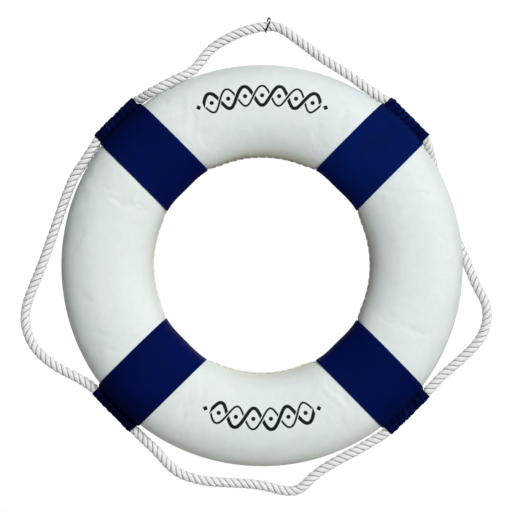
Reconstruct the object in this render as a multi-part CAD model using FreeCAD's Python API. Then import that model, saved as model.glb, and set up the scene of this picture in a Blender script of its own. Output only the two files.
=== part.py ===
import FreeCAD, Part
import bisect
import math
import os

# Ring lifebuoy: a foam ring in a sewn canvas cover, four cloth bands that each
# end in a gathered rope sleeve on the outer edge, a laid rope running through
# the four sleeves with a free loop between each pair, and a bent wire hanger.
#
# Frame: origin at the middle of the ring, +Z up as it hangs, +X to the right,
# the ring's own axis along Y, and the front face towards -Y. Millimetres.
# Radii and angles of places are about the ring's axis, angles from +X towards +Z.

Vector = FreeCAD.Vector
CENTRE = Vector(0, 0, 0)
AXIS = Vector(0, 1, 0)

# ---------------------------------------------------------------- ring sizes
RING_MID_R = 192.6       # radius of the tube's centre line
TUBE_HALF_W = 57.4       # half the tube's width, radially, over the canvas
TUBE_HALF_D = 40.0       # half the tube's depth, front to back, over the canvas
TUBE_POWER = 2.3         # superellipse power of the tube's section
ARC_STEPS = 16           # steps along each quarter of the section
BACK_FLAT = 0.6          # how much the back is flattened, where it rests
CANVAS_T = 0.8           # cover canvas
FOAM_GAP = 0.1           # cover to foam
GLUE_GAP = 0.05          # each foam half stops this far from the middle plane
SEAM_GAP = 0.6           # each cover panel stops this far from the middle plane
SEAM_THREAD_R = 0.35
SEAM_THREAD_GAP = 0.1    # foam to seam thread

INNER_R = RING_MID_R - TUBE_HALF_W
FOAM_GROWTH = -CANVAS_T - FOAM_GAP

# --------------------------------------------------- band and sleeve sizes
BAND_ANGLES = {          # as sewn, degrees
    "upper_right": 45.1,
    "upper_left": 135.1,
    "lower_left": 224.45,
    "lower_right": 314.6,
}
BAND_HALF_W = 35.5       # half the width of a band, along the ring
BAND_CLEAR = 0.1         # band to cover
BAND_T = 1.0             # band cloth
BAND_OUT = BAND_CLEAR + BAND_T

# box that keeps only the band's stretch of a full ring of band cloth
BAND_BOX_START = 60      # nearest the ring's axis
BAND_BOX_LEN = 250
BAND_BOX_HALF_D = 70

SLEEVE_MID_R = 256.9     # ring centre to the rope's centre line in a sleeve
SLEEVE_LEN = 66.0        # mouth to mouth
SLEEVE_HALF_LEN = SLEEVE_LEN / 2
SLEEVE_HOLE_R = 5.9
SLEEVE_OUTER_R = SLEEVE_HOLE_R + 1.0
HOLE_OVERSHOOT = 10      # hole cutter beyond each mouth
NECK_HALF_T = 3.2        # half the thickness of the gathered neck
NECK_START_R = 244.5
NECK_LEN = 9.0           # radially
NECK_OVERLAP = 0.5       # how far the neck sinks into the band cloth

# ----------------------------------------------------------- stitch sizes
LACING_PITCH_DEG = 3.86  # about 9 mm along the inner edge
LACING_R = 0.95
LACING_HALF_LEN = 4.8    # without the rounded end
LACING_LEAN_DEG = -50.0  # off the ring's axis
LACING_END_DEG = 2.3     # from a band's edge to the first stitch's middle
LACING_CLEAR = 0.16      # lacing to cover

SLEEVE_STITCH_R = 0.4
SLEEVE_STITCH_LEN = 5.6  # over the rounded ends
SLEEVE_STITCH_PITCH = 9.0
SLEEVE_STITCHES = 7      # in each row
SLEEVE_STITCH_Y = 5.45   # each row's distance from the middle plane
SLEEVE_STITCH_CLEAR = 0.08

# ---------------------------------------------------- rope and hanger sizes
ROPE_R = 5.8             # free rope, nominal 12 mm three-strand
ROPE_RUN_R = 5.4         # rope squeezed by the sleeves
ROPE_END_GAP = 0.8       # between a swinging loop and the fixed rope beside it
LOOP_STEP = 7.0          # spacing of the sections along a free loop
RUN_STEP = 4.0           # the same along the fixed rope outside the sleeves
SLEEVE_STATIONS = (3.0, 9.0, 18.0, 33.0, 48.0, 57.0, 63.0)  # from the first mouth
SLEEVE_DEPTHS = (8, 16)  # how far in each curve is steered straight, from its mouth

WHIPPING_R = 5.8
WHIPPING_LEN = 26.0
WHIPPING_CLEAR = 0.04    # twine to rope
WHIPPING_OVERSHOOT = 2   # bore cutter beyond each end

CAP_ANGLES = (80, 62, 43, 22)  # degrees, sections of a rounded cord end, tip first

HOOK_WIRE_R = 0.9
HOOK_STEP = 2.0
# Centre line (x, y, z) of the bent wire hanger, from its free tip in front of
# the rope, under the rope, up behind it and over the top back towards the tip.
HOOK_PATH = [
    (10.5, -7.0, 305.2), (9.0, -7.5, 302.0), (7.4, -7.5, 298.6), (5.9, -6.2, 294.8),
    (4.9, -3.0, 292.6), (4.7, 0.6, 292.0), (4.9, 3.9, 293.0), (5.3, 6.6, 295.9),
    (5.8, 7.5, 299.5), (6.4, 7.0, 303.2), (6.9, 5.2, 306.4), (7.6, 2.6, 308.8),
    (8.5, -0.2, 309.8), (9.4, -2.8, 309.2), (10.0, -4.9, 307.6),
]

# Centre line (x, y, z) of the free rope between sleeve mouths, going round
# clockwise as seen from the front, one point every 8 mm or so. The mouths
# themselves are worked out. The top loop lies on the tube's front shoulder
# before it rises to the hanger; the right loop passes behind the tube's outer edge.
ROPE_TOP = [
    (-152.7, -3.6, 208.5), (-146.4, -7.7, 211.1), (-140.1, -11.8, 213.5),
    (-133.6, -15.3, 216.5), (-126.7, -16.8, 220.0), (-119.7, -16.9, 223.8), (-112.7, -16.7, 227.5),
    (-105.5, -16.4, 231.0), (-98.4, -15.7, 234.3), (-91.6, -13.8, 238.1), (-85.6, -11.3, 242.6),
    (-80.6, -8.8, 248.1), (-76.1, -6.3, 254.2), (-71.8, -3.9, 260.6), (-67.0, -2.1, 266.6),
    (-61.4, -0.9, 272.0), (-55.1, -0.4, 276.7), (-48.3, -0.2, 281.0), (-41.3, -0.1, 284.8),
    (-34.1, 0.0, 288.2), (-26.8, 0.0, 291.3), (-19.4, 0.0, 293.9), (-11.7, 0.0, 296.1),
    (-4.0, 0.0, 297.9), (4.0, 0.0, 299.0), (11.9, 0.0, 299.3), (19.6, 0.0, 298.1),
    (26.8, 0.0, 294.8), (33.6, 0.0, 290.4), (40.0, 0.0, 285.7), (46.4, 0.0, 281.1),
    (52.7, 0.0, 276.3), (59.0, 0.0, 271.5), (65.4, 0.0, 266.7), (71.8, 0.0, 262.0),
    (78.3, 0.0, 257.4), (85.0, 0.0, 253.1), (91.7, 0.0, 248.8), (98.4, 0.0, 244.6),
    (105.1, 0.0, 240.3), (111.7, 0.0, 235.9), (118.2, 0.0, 231.4), (124.5, 0.0, 226.5),
    (130.8, 0.0, 221.6), (137.3, 0.0, 217.2), (144.3, 0.0, 213.3), (151.4, 0.0, 209.7),
]
ROPE_RIGHT = [
    (208.1, 4.1, 152.8), (210.1, 9.1, 146.9), (211.7, 14.2, 140.9),
    (213.6, 18.9, 134.8), (215.6, 22.5, 128.0), (217.7, 25.0, 120.7), (219.9, 27.0, 113.3),
    (222.1, 28.5, 105.8), (224.4, 29.6, 98.3), (226.7, 30.4, 90.7), (229.1, 30.9, 83.1),
    (231.5, 31.0, 75.5), (233.9, 30.9, 67.9), (236.5, 30.5, 60.3), (239.1, 29.8, 52.8),
    (241.8, 28.6, 45.4), (244.5, 26.9, 38.1), (247.1, 24.8, 30.9), (249.7, 22.0, 23.9),
    (252.2, 18.7, 17.1), (254.6, 15.2, 10.3), (257.1, 12.0, 3.4), (259.5, 9.2, -3.6),
    (262.1, 7.0, -10.8), (264.9, 5.3, -18.1), (268.0, 4.0, -25.3), (271.5, 3.0, -32.4),
    (275.2, 2.1, -39.4), (278.4, 1.3, -46.7), (280.3, 0.7, -54.5), (280.9, 0.3, -62.4),
    (280.2, 0.1, -70.2), (278.3, 0.0, -78.0), (275.4, 0.0, -85.4), (271.5, 0.0, -92.4),
    (266.8, 0.0, -98.8), (261.4, 0.0, -104.7), (255.7, 0.0, -110.2), (249.8, 0.0, -115.6),
    (244.0, 0.0, -121.0), (238.1, 0.0, -126.4), (231.9, 0.0, -131.5), (225.8, 0.0, -136.6),
    (220.2, 0.0, -142.2), (214.9, 0.0, -148.2), (209.4, 0.0, -154.0),
]
ROPE_BOTTOM = [
    (150.8, 0.0, -211.2), (144.1, 0.0, -215.3), (137.2, 0.0, -219.3),
    (130.4, 0.0, -223.4), (123.6, 0.0, -227.4), (116.7, 0.0, -231.3), (109.7, 0.0, -235.0),
    (102.7, 0.0, -238.7), (95.6, 0.0, -242.3), (88.6, 0.0, -246.1), (81.8, 0.0, -250.1),
    (75.1, 0.0, -254.3), (68.8, 0.0, -259.0), (62.7, 0.0, -264.1), (57.0, 0.0, -269.7),
    (51.2, 0.0, -275.2), (44.5, 0.0, -279.2), (36.9, 0.0, -280.9), (28.9, 0.0, -280.6),
    (21.2, 0.0, -279.0), (13.4, 0.0, -277.0), (5.7, 0.0, -275.2), (-2.1, 0.0, -273.7),
    (-9.9, 0.0, -272.6), (-17.8, 0.0, -271.8), (-25.7, 0.0, -271.3), (-33.6, 0.0, -270.9),
    (-41.5, 0.0, -270.6), (-49.5, 0.0, -270.2), (-57.4, 0.0, -269.7), (-65.3, 0.0, -268.9),
    (-73.1, 0.0, -267.8), (-80.9, 0.0, -266.3), (-88.5, 0.0, -264.2), (-96.0, 0.0, -261.6),
    (-103.1, 0.0, -258.1), (-109.7, 0.0, -253.7), (-115.6, 0.0, -248.5), (-121.1, 0.0, -242.7),
    (-126.3, 0.0, -236.7), (-131.7, 0.0, -230.9), (-137.3, 0.0, -225.4), (-143.2, 0.0, -220.0),
    (-149.0, 0.0, -214.6), (-154.7, 0.0, -209.1),
]
ROPE_LEFT = [
    (-212.7, 0.0, -151.2), (-219.2, 0.0, -146.6), (-226.0, 0.0, -142.4),
    (-233.1, 0.0, -138.7), (-240.2, 0.0, -135.1), (-247.3, 0.0, -131.4), (-254.3, 0.0, -127.4),
    (-261.1, 0.0, -123.1), (-267.5, 0.0, -118.3), (-273.6, 0.0, -113.1), (-279.0, 0.0, -107.4),
    (-283.9, 0.0, -101.1), (-288.0, 0.0, -94.1), (-291.2, 0.0, -86.8), (-293.5, 0.0, -79.1),
    (-294.8, 0.0, -71.2), (-295.0, 0.0, -63.2), (-294.2, 0.0, -55.3), (-292.4, 0.0, -47.5),
    (-290.0, 0.0, -39.8), (-287.2, 0.0, -32.3), (-284.2, 0.0, -24.8), (-281.2, 0.0, -17.4),
    (-278.2, 0.0, -10.0), (-275.3, 0.0, -2.6), (-272.5, 0.0, 4.9), (-269.8, 0.0, 12.4),
    (-267.1, 0.0, 20.0), (-264.5, 0.0, 27.6), (-261.9, 0.0, 35.1), (-259.4, 0.0, 42.7),
    (-256.8, 0.0, 50.3), (-254.3, 0.0, 57.9), (-251.7, 0.0, 65.5), (-249.1, 0.0, 73.1),
    (-246.5, 0.0, 80.6), (-243.7, 0.0, 88.2), (-240.8, 0.0, 95.6), (-237.7, 0.0, 103.0),
    (-234.3, 0.0, 110.2), (-230.3, 0.0, 117.1), (-225.5, 0.0, 123.6), (-221.1, 0.0, 130.2),
    (-216.9, 0.1, 137.1), (-212.5, 0.0, 143.8), (-208.8, 0.0, 150.8),
]

# Clockwise from the top: points, band it leaves, band it reaches, and the index
# of its first pivot point. A loop swings about the line from there to its last point.
LOOPS = {
    "top": (ROPE_TOP, "upper_left", "upper_right", 10),
    "right": (ROPE_RIGHT, "upper_right", "lower_right", 21),
    "bottom": (ROPE_BOTTOM, "lower_right", "lower_left", 0),
    "left": (ROPE_LEFT, "lower_left", "upper_left", 0),
}


# ------------------------------------------------------------ shared helpers
def save(name, *solids):
    """Write one node as one STEP file: a single solid, or a group of separate ones."""
    shape = solids[0] if len(solids) == 1 else Part.makeCompound(list(solids))
    for solid in shape.Solids:
        if not solid.isValid() or solid.Volume <= 0:
            raise RuntimeError(name + " holds a bad solid")
    shape.exportStep("parts/" + name + ".step")


def solid_of(shape):
    """The shape's first solid, turned right side out."""
    solid = shape.Solids[0] if shape.Solids else Part.Solid(shape.Shells[0])
    if solid.Volume < 0:
        solid.reverse()
    return solid


def turned(shape, angle):
    """A copy turned from +X towards +Z by angle degrees about the ring's axis."""
    copy = shape.copy()
    copy.rotate(CENTRE, AXIS, -angle)
    return copy


def spline(points):
    curve = Part.BSplineCurve()
    curve.interpolate(points)
    return curve


def stitch(centre, direction, half_len, radius):
    """A short length of thread along a unit direction, with rounded ends."""
    start = centre - direction * half_len
    end = centre + direction * half_len
    body = Part.makeCylinder(radius, 2 * half_len, start, direction)
    start_cap = Part.makeSphere(radius, start, direction * -1, 0, 90, 360)
    end_cap = Part.makeSphere(radius, end, direction, 0, 90, 360)
    return solid_of(body.fuse([start_cap, end_cap]))


# ------------------------------------------------------------- tube section
# "growth" is how far a section lies outside the canvas, negative for inside.
def section_arc(half_w, half_d, y_start, y_end, side):
    """Section points between two depths, on the inner (-1) or outer (+1) side."""
    exponent = 2 / TUBE_POWER
    t_start = math.asin((abs(y_start) / half_d) ** (1 / exponent))
    t_end = math.asin(min(1.0, (abs(y_end) / half_d) ** (1 / exponent)))
    points = []
    for i in range(ARC_STEPS + 1):
        # cosine spacing sets the points closer towards both ends of the arc
        fraction = (1 - math.cos(math.pi * i / ARC_STEPS)) / 2
        t = t_start + (t_end - t_start) * fraction
        y = half_d * math.sin(t) ** exponent * (-1 if y_end < 0 else 1)
        offset = half_w * max(0.0, math.cos(t)) ** exponent
        points.append(Vector(RING_MID_R + side * offset, y, 0))
    return points


def section_edges(growth, front, y_start):
    """Edges of half the section, from the inner to the outer side, and their two ends.

    The back has a flat land where the ring rests.
    """
    half_w, half_d = TUBE_HALF_W + growth, TUBE_HALF_D + growth
    y_end = -half_d if front else half_d - BACK_FLAT
    inner = section_arc(half_w, half_d, y_start, y_end, -1)
    outer = section_arc(half_w, half_d, y_start, y_end, +1)
    outer.reverse()
    if front:
        # both arcs hold the foremost point, so one copy is left out
        edges = [spline(inner + outer[1:]).toShape()]
    else:
        land = Part.makeLine(inner[-1], outer[0])
        edges = [spline(inner).toShape(), land, spline(outer).toShape()]
    return edges, inner[0], outer[-1]


def revolve(edges):
    wire = Part.Wire(Part.__sortEdges__(edges))
    return solid_of(Part.Face(wire).revolve(CENTRE, AXIS, 360))


def full_ring(growth):
    front = section_edges(growth, True, 0.0)[0]
    back = section_edges(growth, False, 0.0)[0]
    return revolve(front + back)


def foam_half(front):
    edges, inner_end, outer_end = section_edges(FOAM_GROWTH, front, GLUE_GAP)
    return revolve(edges + [Part.makeLine(outer_end, inner_end)])


def cover_panel(front):
    outside, out_start, out_end = section_edges(0.0, front, SEAM_GAP)
    inside, in_start, in_end = section_edges(-CANVAS_T, front, SEAM_GAP)
    rims = [Part.makeLine(out_start, in_start), Part.makeLine(out_end, in_end)]
    return revolve(outside + inside + rims)


# ------------------------------------------------------------------- threads
def outer_seam_thread():
    """The thread that closes the two panels round the outside, down in their seam."""
    foam_r = RING_MID_R + TUBE_HALF_W + FOAM_GROWTH
    seam_r = foam_r + SEAM_THREAD_GAP + SEAM_THREAD_R
    return Part.makeTorus(seam_r, SEAM_THREAD_R, CENTRE, AXIS)


def inner_lacing():
    """Whip stitches closing the cover round the inside, in the open stretches between bands."""
    lean = math.radians(LACING_LEAN_DEG)
    one = stitch(
        Vector(INNER_R - LACING_R - LACING_CLEAR, 0, 0),
        Vector(0, math.cos(lean), math.sin(lean)),
        LACING_HALF_LEN,
        LACING_R,
    )
    band_half_deg = math.degrees(math.asin(BAND_HALF_W / (INNER_R - BAND_CLEAR - BAND_T)))
    margin = band_half_deg + LACING_END_DEG
    angles = sorted(BAND_ANGLES.values())
    stitches = []
    for start, stop in zip(angles, angles[1:] + [angles[0] + 360]):
        low, high = start + margin, stop - margin
        count = int((high - low) / LACING_PITCH_DEG) + 1
        first = (low + high - (count - 1) * LACING_PITCH_DEG) / 2
        stitches += [turned(one, first + k * LACING_PITCH_DEG) for k in range(count)]
    return stitches


# -------------------------------------------------------- bands and sleeves
# Built once with the middle on +X, then turned to each of the four places.
def sleeve_cylinder(radius, overshoot=0):
    start = Vector(SLEEVE_MID_R, 0, -SLEEVE_HALF_LEN - overshoot)
    return Part.makeCylinder(radius, SLEEVE_LEN + 2 * overshoot, start, Vector(0, 0, 1))


def band_with_sleeve():
    wrap = full_ring(BAND_OUT).cut(full_ring(BAND_CLEAR))
    wrap = wrap.common(Part.makeBox(
        BAND_BOX_LEN, 2 * BAND_BOX_HALF_D, 2 * BAND_HALF_W,
        Vector(BAND_BOX_START, -BAND_BOX_HALF_D, -BAND_HALF_W),
    ))
    neck = Part.makeBox(
        NECK_LEN, 2 * NECK_HALF_T, SLEEVE_LEN,
        Vector(NECK_START_R, -NECK_HALF_T, -SLEEVE_HALF_LEN),
    )
    tube = sleeve_cylinder(SLEEVE_OUTER_R)
    sleeve = tube.fuse(neck).cut(full_ring(BAND_OUT - NECK_OVERLAP))
    band = wrap.fuse(sleeve).cut(sleeve_cylinder(SLEEVE_HOLE_R, HOLE_OVERSHOOT))
    return solid_of(band.removeSplitter())


def sleeve_stitches():
    """Thread holding the sleeve's neck shut, a row in front and a row behind."""
    reach = SLEEVE_OUTER_R + SLEEVE_STITCH_R + SLEEVE_STITCH_CLEAR
    x = SLEEVE_MID_R - math.sqrt(reach ** 2 - SLEEVE_STITCH_Y ** 2)
    half_len = SLEEVE_STITCH_LEN / 2 - SLEEVE_STITCH_R
    stitches = []
    for side in (-1, 1):
        for k in range(SLEEVE_STITCHES):
            z = (k - (SLEEVE_STITCHES - 1) / 2) * SLEEVE_STITCH_PITCH
            middle = Vector(x, side * SLEEVE_STITCH_Y, z)
            stitches.append(stitch(middle, Vector(0, 0, 1), half_len, SLEEVE_STITCH_R))
    return stitches


def mouth(band_name, side):
    """A sleeve mouth and the sleeve's direction; side +1 is further from +X towards +Z."""
    angle = math.radians(BAND_ANGLES[band_name])
    out = Vector(math.cos(angle), 0, math.sin(angle))
    along = Vector(-math.sin(angle), 0, math.cos(angle))
    return out * SLEEVE_MID_R + along * (side * SLEEVE_HALF_LEN), along


# --------------------------------------------------------------------- cords
class MeasuredCurve:
    """A curve through points, with its length so far at evenly spaced parameters."""

    def __init__(self, points, steps):
        self.curve = spline(points)
        first, last = self.curve.FirstParameter, self.curve.LastParameter
        self.params = [first + (last - first) * k / steps for k in range(steps + 1)]
        places = [self.curve.value(param) for param in self.params]
        self.lengths = [0.0]
        for a, b in zip(places, places[1:]):
            self.lengths.append(self.lengths[-1] + (b - a).Length)

    def length_to(self, point):
        """Length along the curve to the place on it nearest a point."""
        def distance(param):
            return (self.curve.value(param) - point).Length

        params, lengths = self.params, self.lengths
        last = len(params) - 1
        k = min(range(last + 1), key=lambda i: distance(params[i]))
        low, high = params[max(0, k - 1)], params[min(last, k + 1)]
        best = min((low + (high - low) * i / 40 for i in range(41)), key=distance)
        position = (best - params[0]) / (params[-1] - params[0]) * last
        k = max(0, min(int(position), last - 1))
        return lengths[k] + (lengths[k + 1] - lengths[k]) * (position - k)

    def stations(self, start, end, step):
        """Evenly spaced (point, unit tangent) pairs between two lengths."""
        params, lengths = self.params, self.lengths
        count = max(2, int(round((end - start) / step)))
        pairs = []
        for i in range(count + 1):
            length = start + (end - start) * i / count
            k = max(1, min(bisect.bisect_left(lengths, length), len(lengths) - 1))
            fraction = (length - lengths[k - 1]) / (lengths[k] - lengths[k - 1])
            param = params[k - 1] + (params[k] - params[k - 1]) * fraction
            tangent = Vector(*self.curve.tangent(param)[0])
            tangent.normalize()
            pairs.append((self.curve.value(param), tangent))
        return pairs


def circle_at(point, tangent, radius, reference):
    """A circle square to a unit tangent, its start turned towards reference."""
    n = reference - tangent * reference.dot(tangent)
    n.normalize()
    b = tangent.cross(n)
    circle = Part.makeCircle(radius)
    circle.Placement = FreeCAD.Placement(FreeCAD.Matrix(
        n.x, b.x, tangent.x, point.x,
        n.y, b.y, tangent.y, point.y,
        n.z, b.z, tangent.z, point.z,
        0, 0, 0, 1,
    ))
    return Part.Wire(circle)


def cap_circles(station, radius, reference, side):
    """Circles of a rounded end, tip first; side -1 at the start, +1 at the end."""
    point, tangent = station
    circles = []
    for degrees in CAP_ANGLES:
        angle = math.radians(degrees)
        place = point + tangent * (side * radius * math.sin(angle))
        circles.append(circle_at(place, tangent, radius * math.cos(angle), reference))
    return circles


def cord(stations, radius, reference, rounded=False):
    """A solid cord through (point, tangent) stations, with flat or rounded ends."""
    circles = [circle_at(point, tangent, radius, reference) for point, tangent in stations]
    if rounded:
        start_cap = cap_circles(stations[0], radius, reference, -1)
        end_cap = cap_circles(stations[-1], radius, reference, +1)
        circles = start_cap + circles + end_cap[::-1]
    return solid_of(Part.makeLoft(circles, True, True))


# --------------------------------------------------------------------- rope
def split_loop(points, start_band, end_band, first_pivot):
    """Stations of the fixed rope before a loop, of the loop, and of the fixed rope after."""
    near, far = SLEEVE_DEPTHS
    start, start_along = mouth(start_band, -1)
    end, end_along = mouth(end_band, +1)
    points = [Vector(*point) for point in points]
    lead_in = [start + start_along * far, start + start_along * near, start]
    lead_out = [end, end - end_along * near, end - end_along * far]
    path = MeasuredCurve(lead_in + points + lead_out, steps=6000)
    gap = ROPE_R + ROPE_END_GAP
    loop_start = path.length_to(points[first_pivot])
    loop_end = path.length_to(points[-1])
    return (
        path.stations(path.length_to(start), loop_start - gap, RUN_STEP),
        path.stations(loop_start, loop_end, LOOP_STEP),
        path.stations(loop_end + gap, path.length_to(end), RUN_STEP),
    )


def rope_run(into_sleeve, out_of_sleeve):
    """The fixed rope through a sleeve, between two loops."""
    start, end = into_sleeve[-1][0], out_of_sleeve[0][0]
    along = (end - start).normalize()
    straight = [(start + along * s, along) for s in SLEEVE_STATIONS]
    # square across the sleeve at its mouths
    stations = into_sleeve[:-1] + [(start, along)] + straight + [(end, along)] + out_of_sleeve[1:]
    return cord(stations, ROPE_RUN_R, AXIS)


def rope_end_whipping():
    """Twine binding the rope's two ends, which meet inside the lower left sleeve."""
    start, along = mouth("lower_left", -1)
    middle = start + along * SLEEVE_HALF_LEN

    def cylinder(radius, length):
        return Part.makeCylinder(radius, length, middle - along * (length / 2), along)

    bore = cylinder(ROPE_RUN_R + WHIPPING_CLEAR, WHIPPING_LEN + 2 * WHIPPING_OVERSHOOT)
    return solid_of(cylinder(WHIPPING_R, WHIPPING_LEN).cut(bore))


def hanging_hook():
    path = MeasuredCurve([Vector(*point) for point in HOOK_PATH], steps=600)
    stations = path.stations(0.0, path.lengths[-1], HOOK_STEP)
    return cord(stations, HOOK_WIRE_R, Vector(1, 0, 0), rounded=True)


# -------------------------------------------------------------------- build
os.makedirs("parts", exist_ok=True)

for side_name, is_front in (("front", True), ("back", False)):
    save("foam_core_" + side_name, foam_half(is_front))
    save("cover_" + side_name + "_panel", cover_panel(is_front))
save("outer_seam_thread", outer_seam_thread())
save("inner_lacing", *inner_lacing())

band = band_with_sleeve()
neck_stitches = sleeve_stitches()
for name, angle in BAND_ANGLES.items():
    save("band_" + name, turned(band, angle))
    save("sleeve_stitches_" + name, *[turned(one, angle) for one in neck_stitches])

split = {name: split_loop(*loop) for name, loop in LOOPS.items()}
for name, (_, loop_stations, _) in split.items():
    # rounded ends, so that the loop can swing about the line through them
    save("rope_loop_" + name, cord(loop_stations, ROPE_R, AXIS, rounded=True))

names = list(LOOPS)
for before, after in zip(names[-1:] + names[:-1], names):
    save("rope_run_" + LOOPS[after][1], rope_run(split[before][2], split[after][0]))
save("rope_end_whipping", rope_end_whipping())
save("hanging_hook", hanging_hook())
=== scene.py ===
# A ring buoy standing upright: foam halves in a laced canvas cover, four navy bands whose
# sleeves carry a laid rope round the outside, and a small wire hanger at the top.
# The ring's axis is Y and its centre the origin. The front faces -Y, +X is right and +Z is up.
# Ring angles run from +X towards +Z. Sizes are in mm unless a comment says otherwise.
import bpy
import math
import numpy as np
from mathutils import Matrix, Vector


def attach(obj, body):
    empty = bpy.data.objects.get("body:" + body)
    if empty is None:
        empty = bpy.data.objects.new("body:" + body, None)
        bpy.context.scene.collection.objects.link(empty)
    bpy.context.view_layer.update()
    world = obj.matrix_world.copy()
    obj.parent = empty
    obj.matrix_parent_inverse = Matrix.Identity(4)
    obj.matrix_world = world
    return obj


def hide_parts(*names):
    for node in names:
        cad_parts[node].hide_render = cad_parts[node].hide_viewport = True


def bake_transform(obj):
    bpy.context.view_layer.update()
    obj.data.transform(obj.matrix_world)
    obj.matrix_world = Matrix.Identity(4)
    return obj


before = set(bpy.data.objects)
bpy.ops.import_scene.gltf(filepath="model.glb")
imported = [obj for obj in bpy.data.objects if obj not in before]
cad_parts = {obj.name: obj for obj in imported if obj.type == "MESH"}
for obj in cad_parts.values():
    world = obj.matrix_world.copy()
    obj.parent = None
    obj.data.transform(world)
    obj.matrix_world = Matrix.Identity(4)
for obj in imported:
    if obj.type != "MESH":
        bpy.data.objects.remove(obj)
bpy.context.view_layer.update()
scene = bpy.context.scene
MM = 0.001
FRONT, BACK = -1, 1                   # signs of y

# ----------------------------------------------------------------- sizes
MID_R = 192.6                         # ring axis to the middle of the tube's section
TUBE_HALF_W, TUBE_HALF_D = 57.4, 40.0
SECTION_POWER = 2.3                   # superellipse power of the section
BACK_FLAT = 39.4                      # the back is cut flat at this y
INNER_R, OUTER_R = MID_R - TUBE_HALF_W, MID_R + TUBE_HALF_W
COVER_COLUMNS = 720

BAND_ANGLES = {"upper_right": 45.1, "upper_left": 135.1, "lower_left": 224.45,
               "lower_right": 314.6}  # degrees
# strength of the painted shade on each band's outer part
BAND_PAINTED_SHADE = {"upper_left": 0.55, "lower_left": 0.85, "upper_right": 0.25, "lower_right": 0.35}
BAND_HALF_W, BAND_RISE, BAND_THICK = 35.5, 1.3, 0.85
SQUEEZED_R = 134.0                    # inner radius taken for the squeeze under a band
SLEEVE_HALF_W, SLEEVE_TUBE_R = 33.0, 6.35
SLEEVE_R = 256.9                      # ring axis to a sleeve's centre line

LACE_R = 0.95
LACE_PITCH = 3.86                     # degrees
LACE_LEAN = -math.tan(math.radians(50.0)) / INNER_R  # ring angle per mm of y
SEAM_STITCHES = 520

ROPE_R, ROPE_LAY = 5.8, 24.8
ROPE_FULL, ROPE_SLEEVED = 1.055, 5.0 / ROPE_R  # scale in the open and inside a sleeve

# Centre line of each rope loop between its two sleeve mouths, clockwise: x, y, z
ROPE_TOP = [
    (-152.7, -3.6, 208.5), (-146.4, -7.7, 211.1), (-140.1, -11.8, 213.5), (-133.6, -15.3, 216.5),
    (-126.7, -16.8, 220.0), (-119.7, -16.9, 223.8), (-112.7, -16.7, 227.5), (-105.5, -16.4, 231.0),
    (-98.4, -15.7, 234.3), (-91.6, -13.8, 238.1), (-85.6, -11.3, 242.6), (-80.6, -8.8, 248.1),
    (-76.1, -6.3, 254.2), (-71.8, -3.9, 260.6), (-67.0, -2.1, 266.6), (-61.4, -0.9, 272.0),
    (-55.1, -0.4, 276.7), (-48.3, -0.2, 281.0), (-41.3, -0.1, 284.8), (-34.1, 0, 288.2),
    (-26.8, 0, 291.3), (-19.4, 0, 293.9), (-11.7, 0, 296.1), (-4.0, 0, 297.9), (4.0, 0, 299.0),
    (11.9, 0, 299.3), (19.6, 0, 298.1), (26.8, 0, 294.8), (33.6, 0, 290.4), (40.0, 0, 285.7),
    (46.4, 0, 281.1), (52.7, 0, 276.3), (59.0, 0, 271.5), (65.4, 0, 266.7), (71.8, 0, 262.0),
    (78.3, 0, 257.4), (85.0, 0, 253.1), (91.7, 0, 248.8), (98.4, 0, 244.6), (105.1, 0, 240.3),
    (111.7, 0, 235.9), (118.2, 0, 231.4), (124.5, 0, 226.5), (130.8, 0, 221.6), (137.3, 0, 217.2),
    (144.3, 0, 213.3), (151.4, 0, 209.7),
]
ROPE_RIGHT = [
    (208.1, 4.1, 152.8), (210.1, 9.1, 146.9), (211.7, 14.2, 140.9), (213.6, 18.9, 134.8),
    (215.6, 22.5, 128.0), (217.7, 25.0, 120.7), (219.9, 27.0, 113.3), (222.1, 28.5, 105.8),
    (224.4, 29.6, 98.3), (226.7, 30.4, 90.7), (229.1, 30.9, 83.1), (231.5, 31.0, 75.5),
    (233.9, 30.9, 67.9), (236.5, 30.5, 60.3), (239.1, 29.8, 52.8), (241.8, 28.6, 45.4),
    (244.5, 26.9, 38.1), (247.1, 24.8, 30.9), (249.7, 22.0, 23.9), (252.2, 18.7, 17.1),
    (254.6, 15.2, 10.3), (257.1, 12.0, 3.4), (259.5, 9.2, -3.6), (262.1, 7.0, -10.8),
    (264.9, 5.3, -18.1), (268.0, 4.0, -25.3), (271.5, 3.0, -32.4), (275.2, 2.1, -39.4),
    (278.4, 1.3, -46.7), (280.3, 0.7, -54.5), (280.9, 0.3, -62.4), (280.2, 0.1, -70.2),
    (278.3, 0, -78.0), (275.4, 0, -85.4), (271.5, 0, -92.4), (266.8, 0, -98.8),
    (261.4, 0, -104.7), (255.7, 0, -110.2), (249.8, 0, -115.6), (244.0, 0, -121.0),
    (238.1, 0, -126.4), (231.9, 0, -131.5), (225.8, 0, -136.6), (220.2, 0, -142.2),
    (214.9, 0, -148.2), (209.4, 0, -154.0),
]
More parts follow.
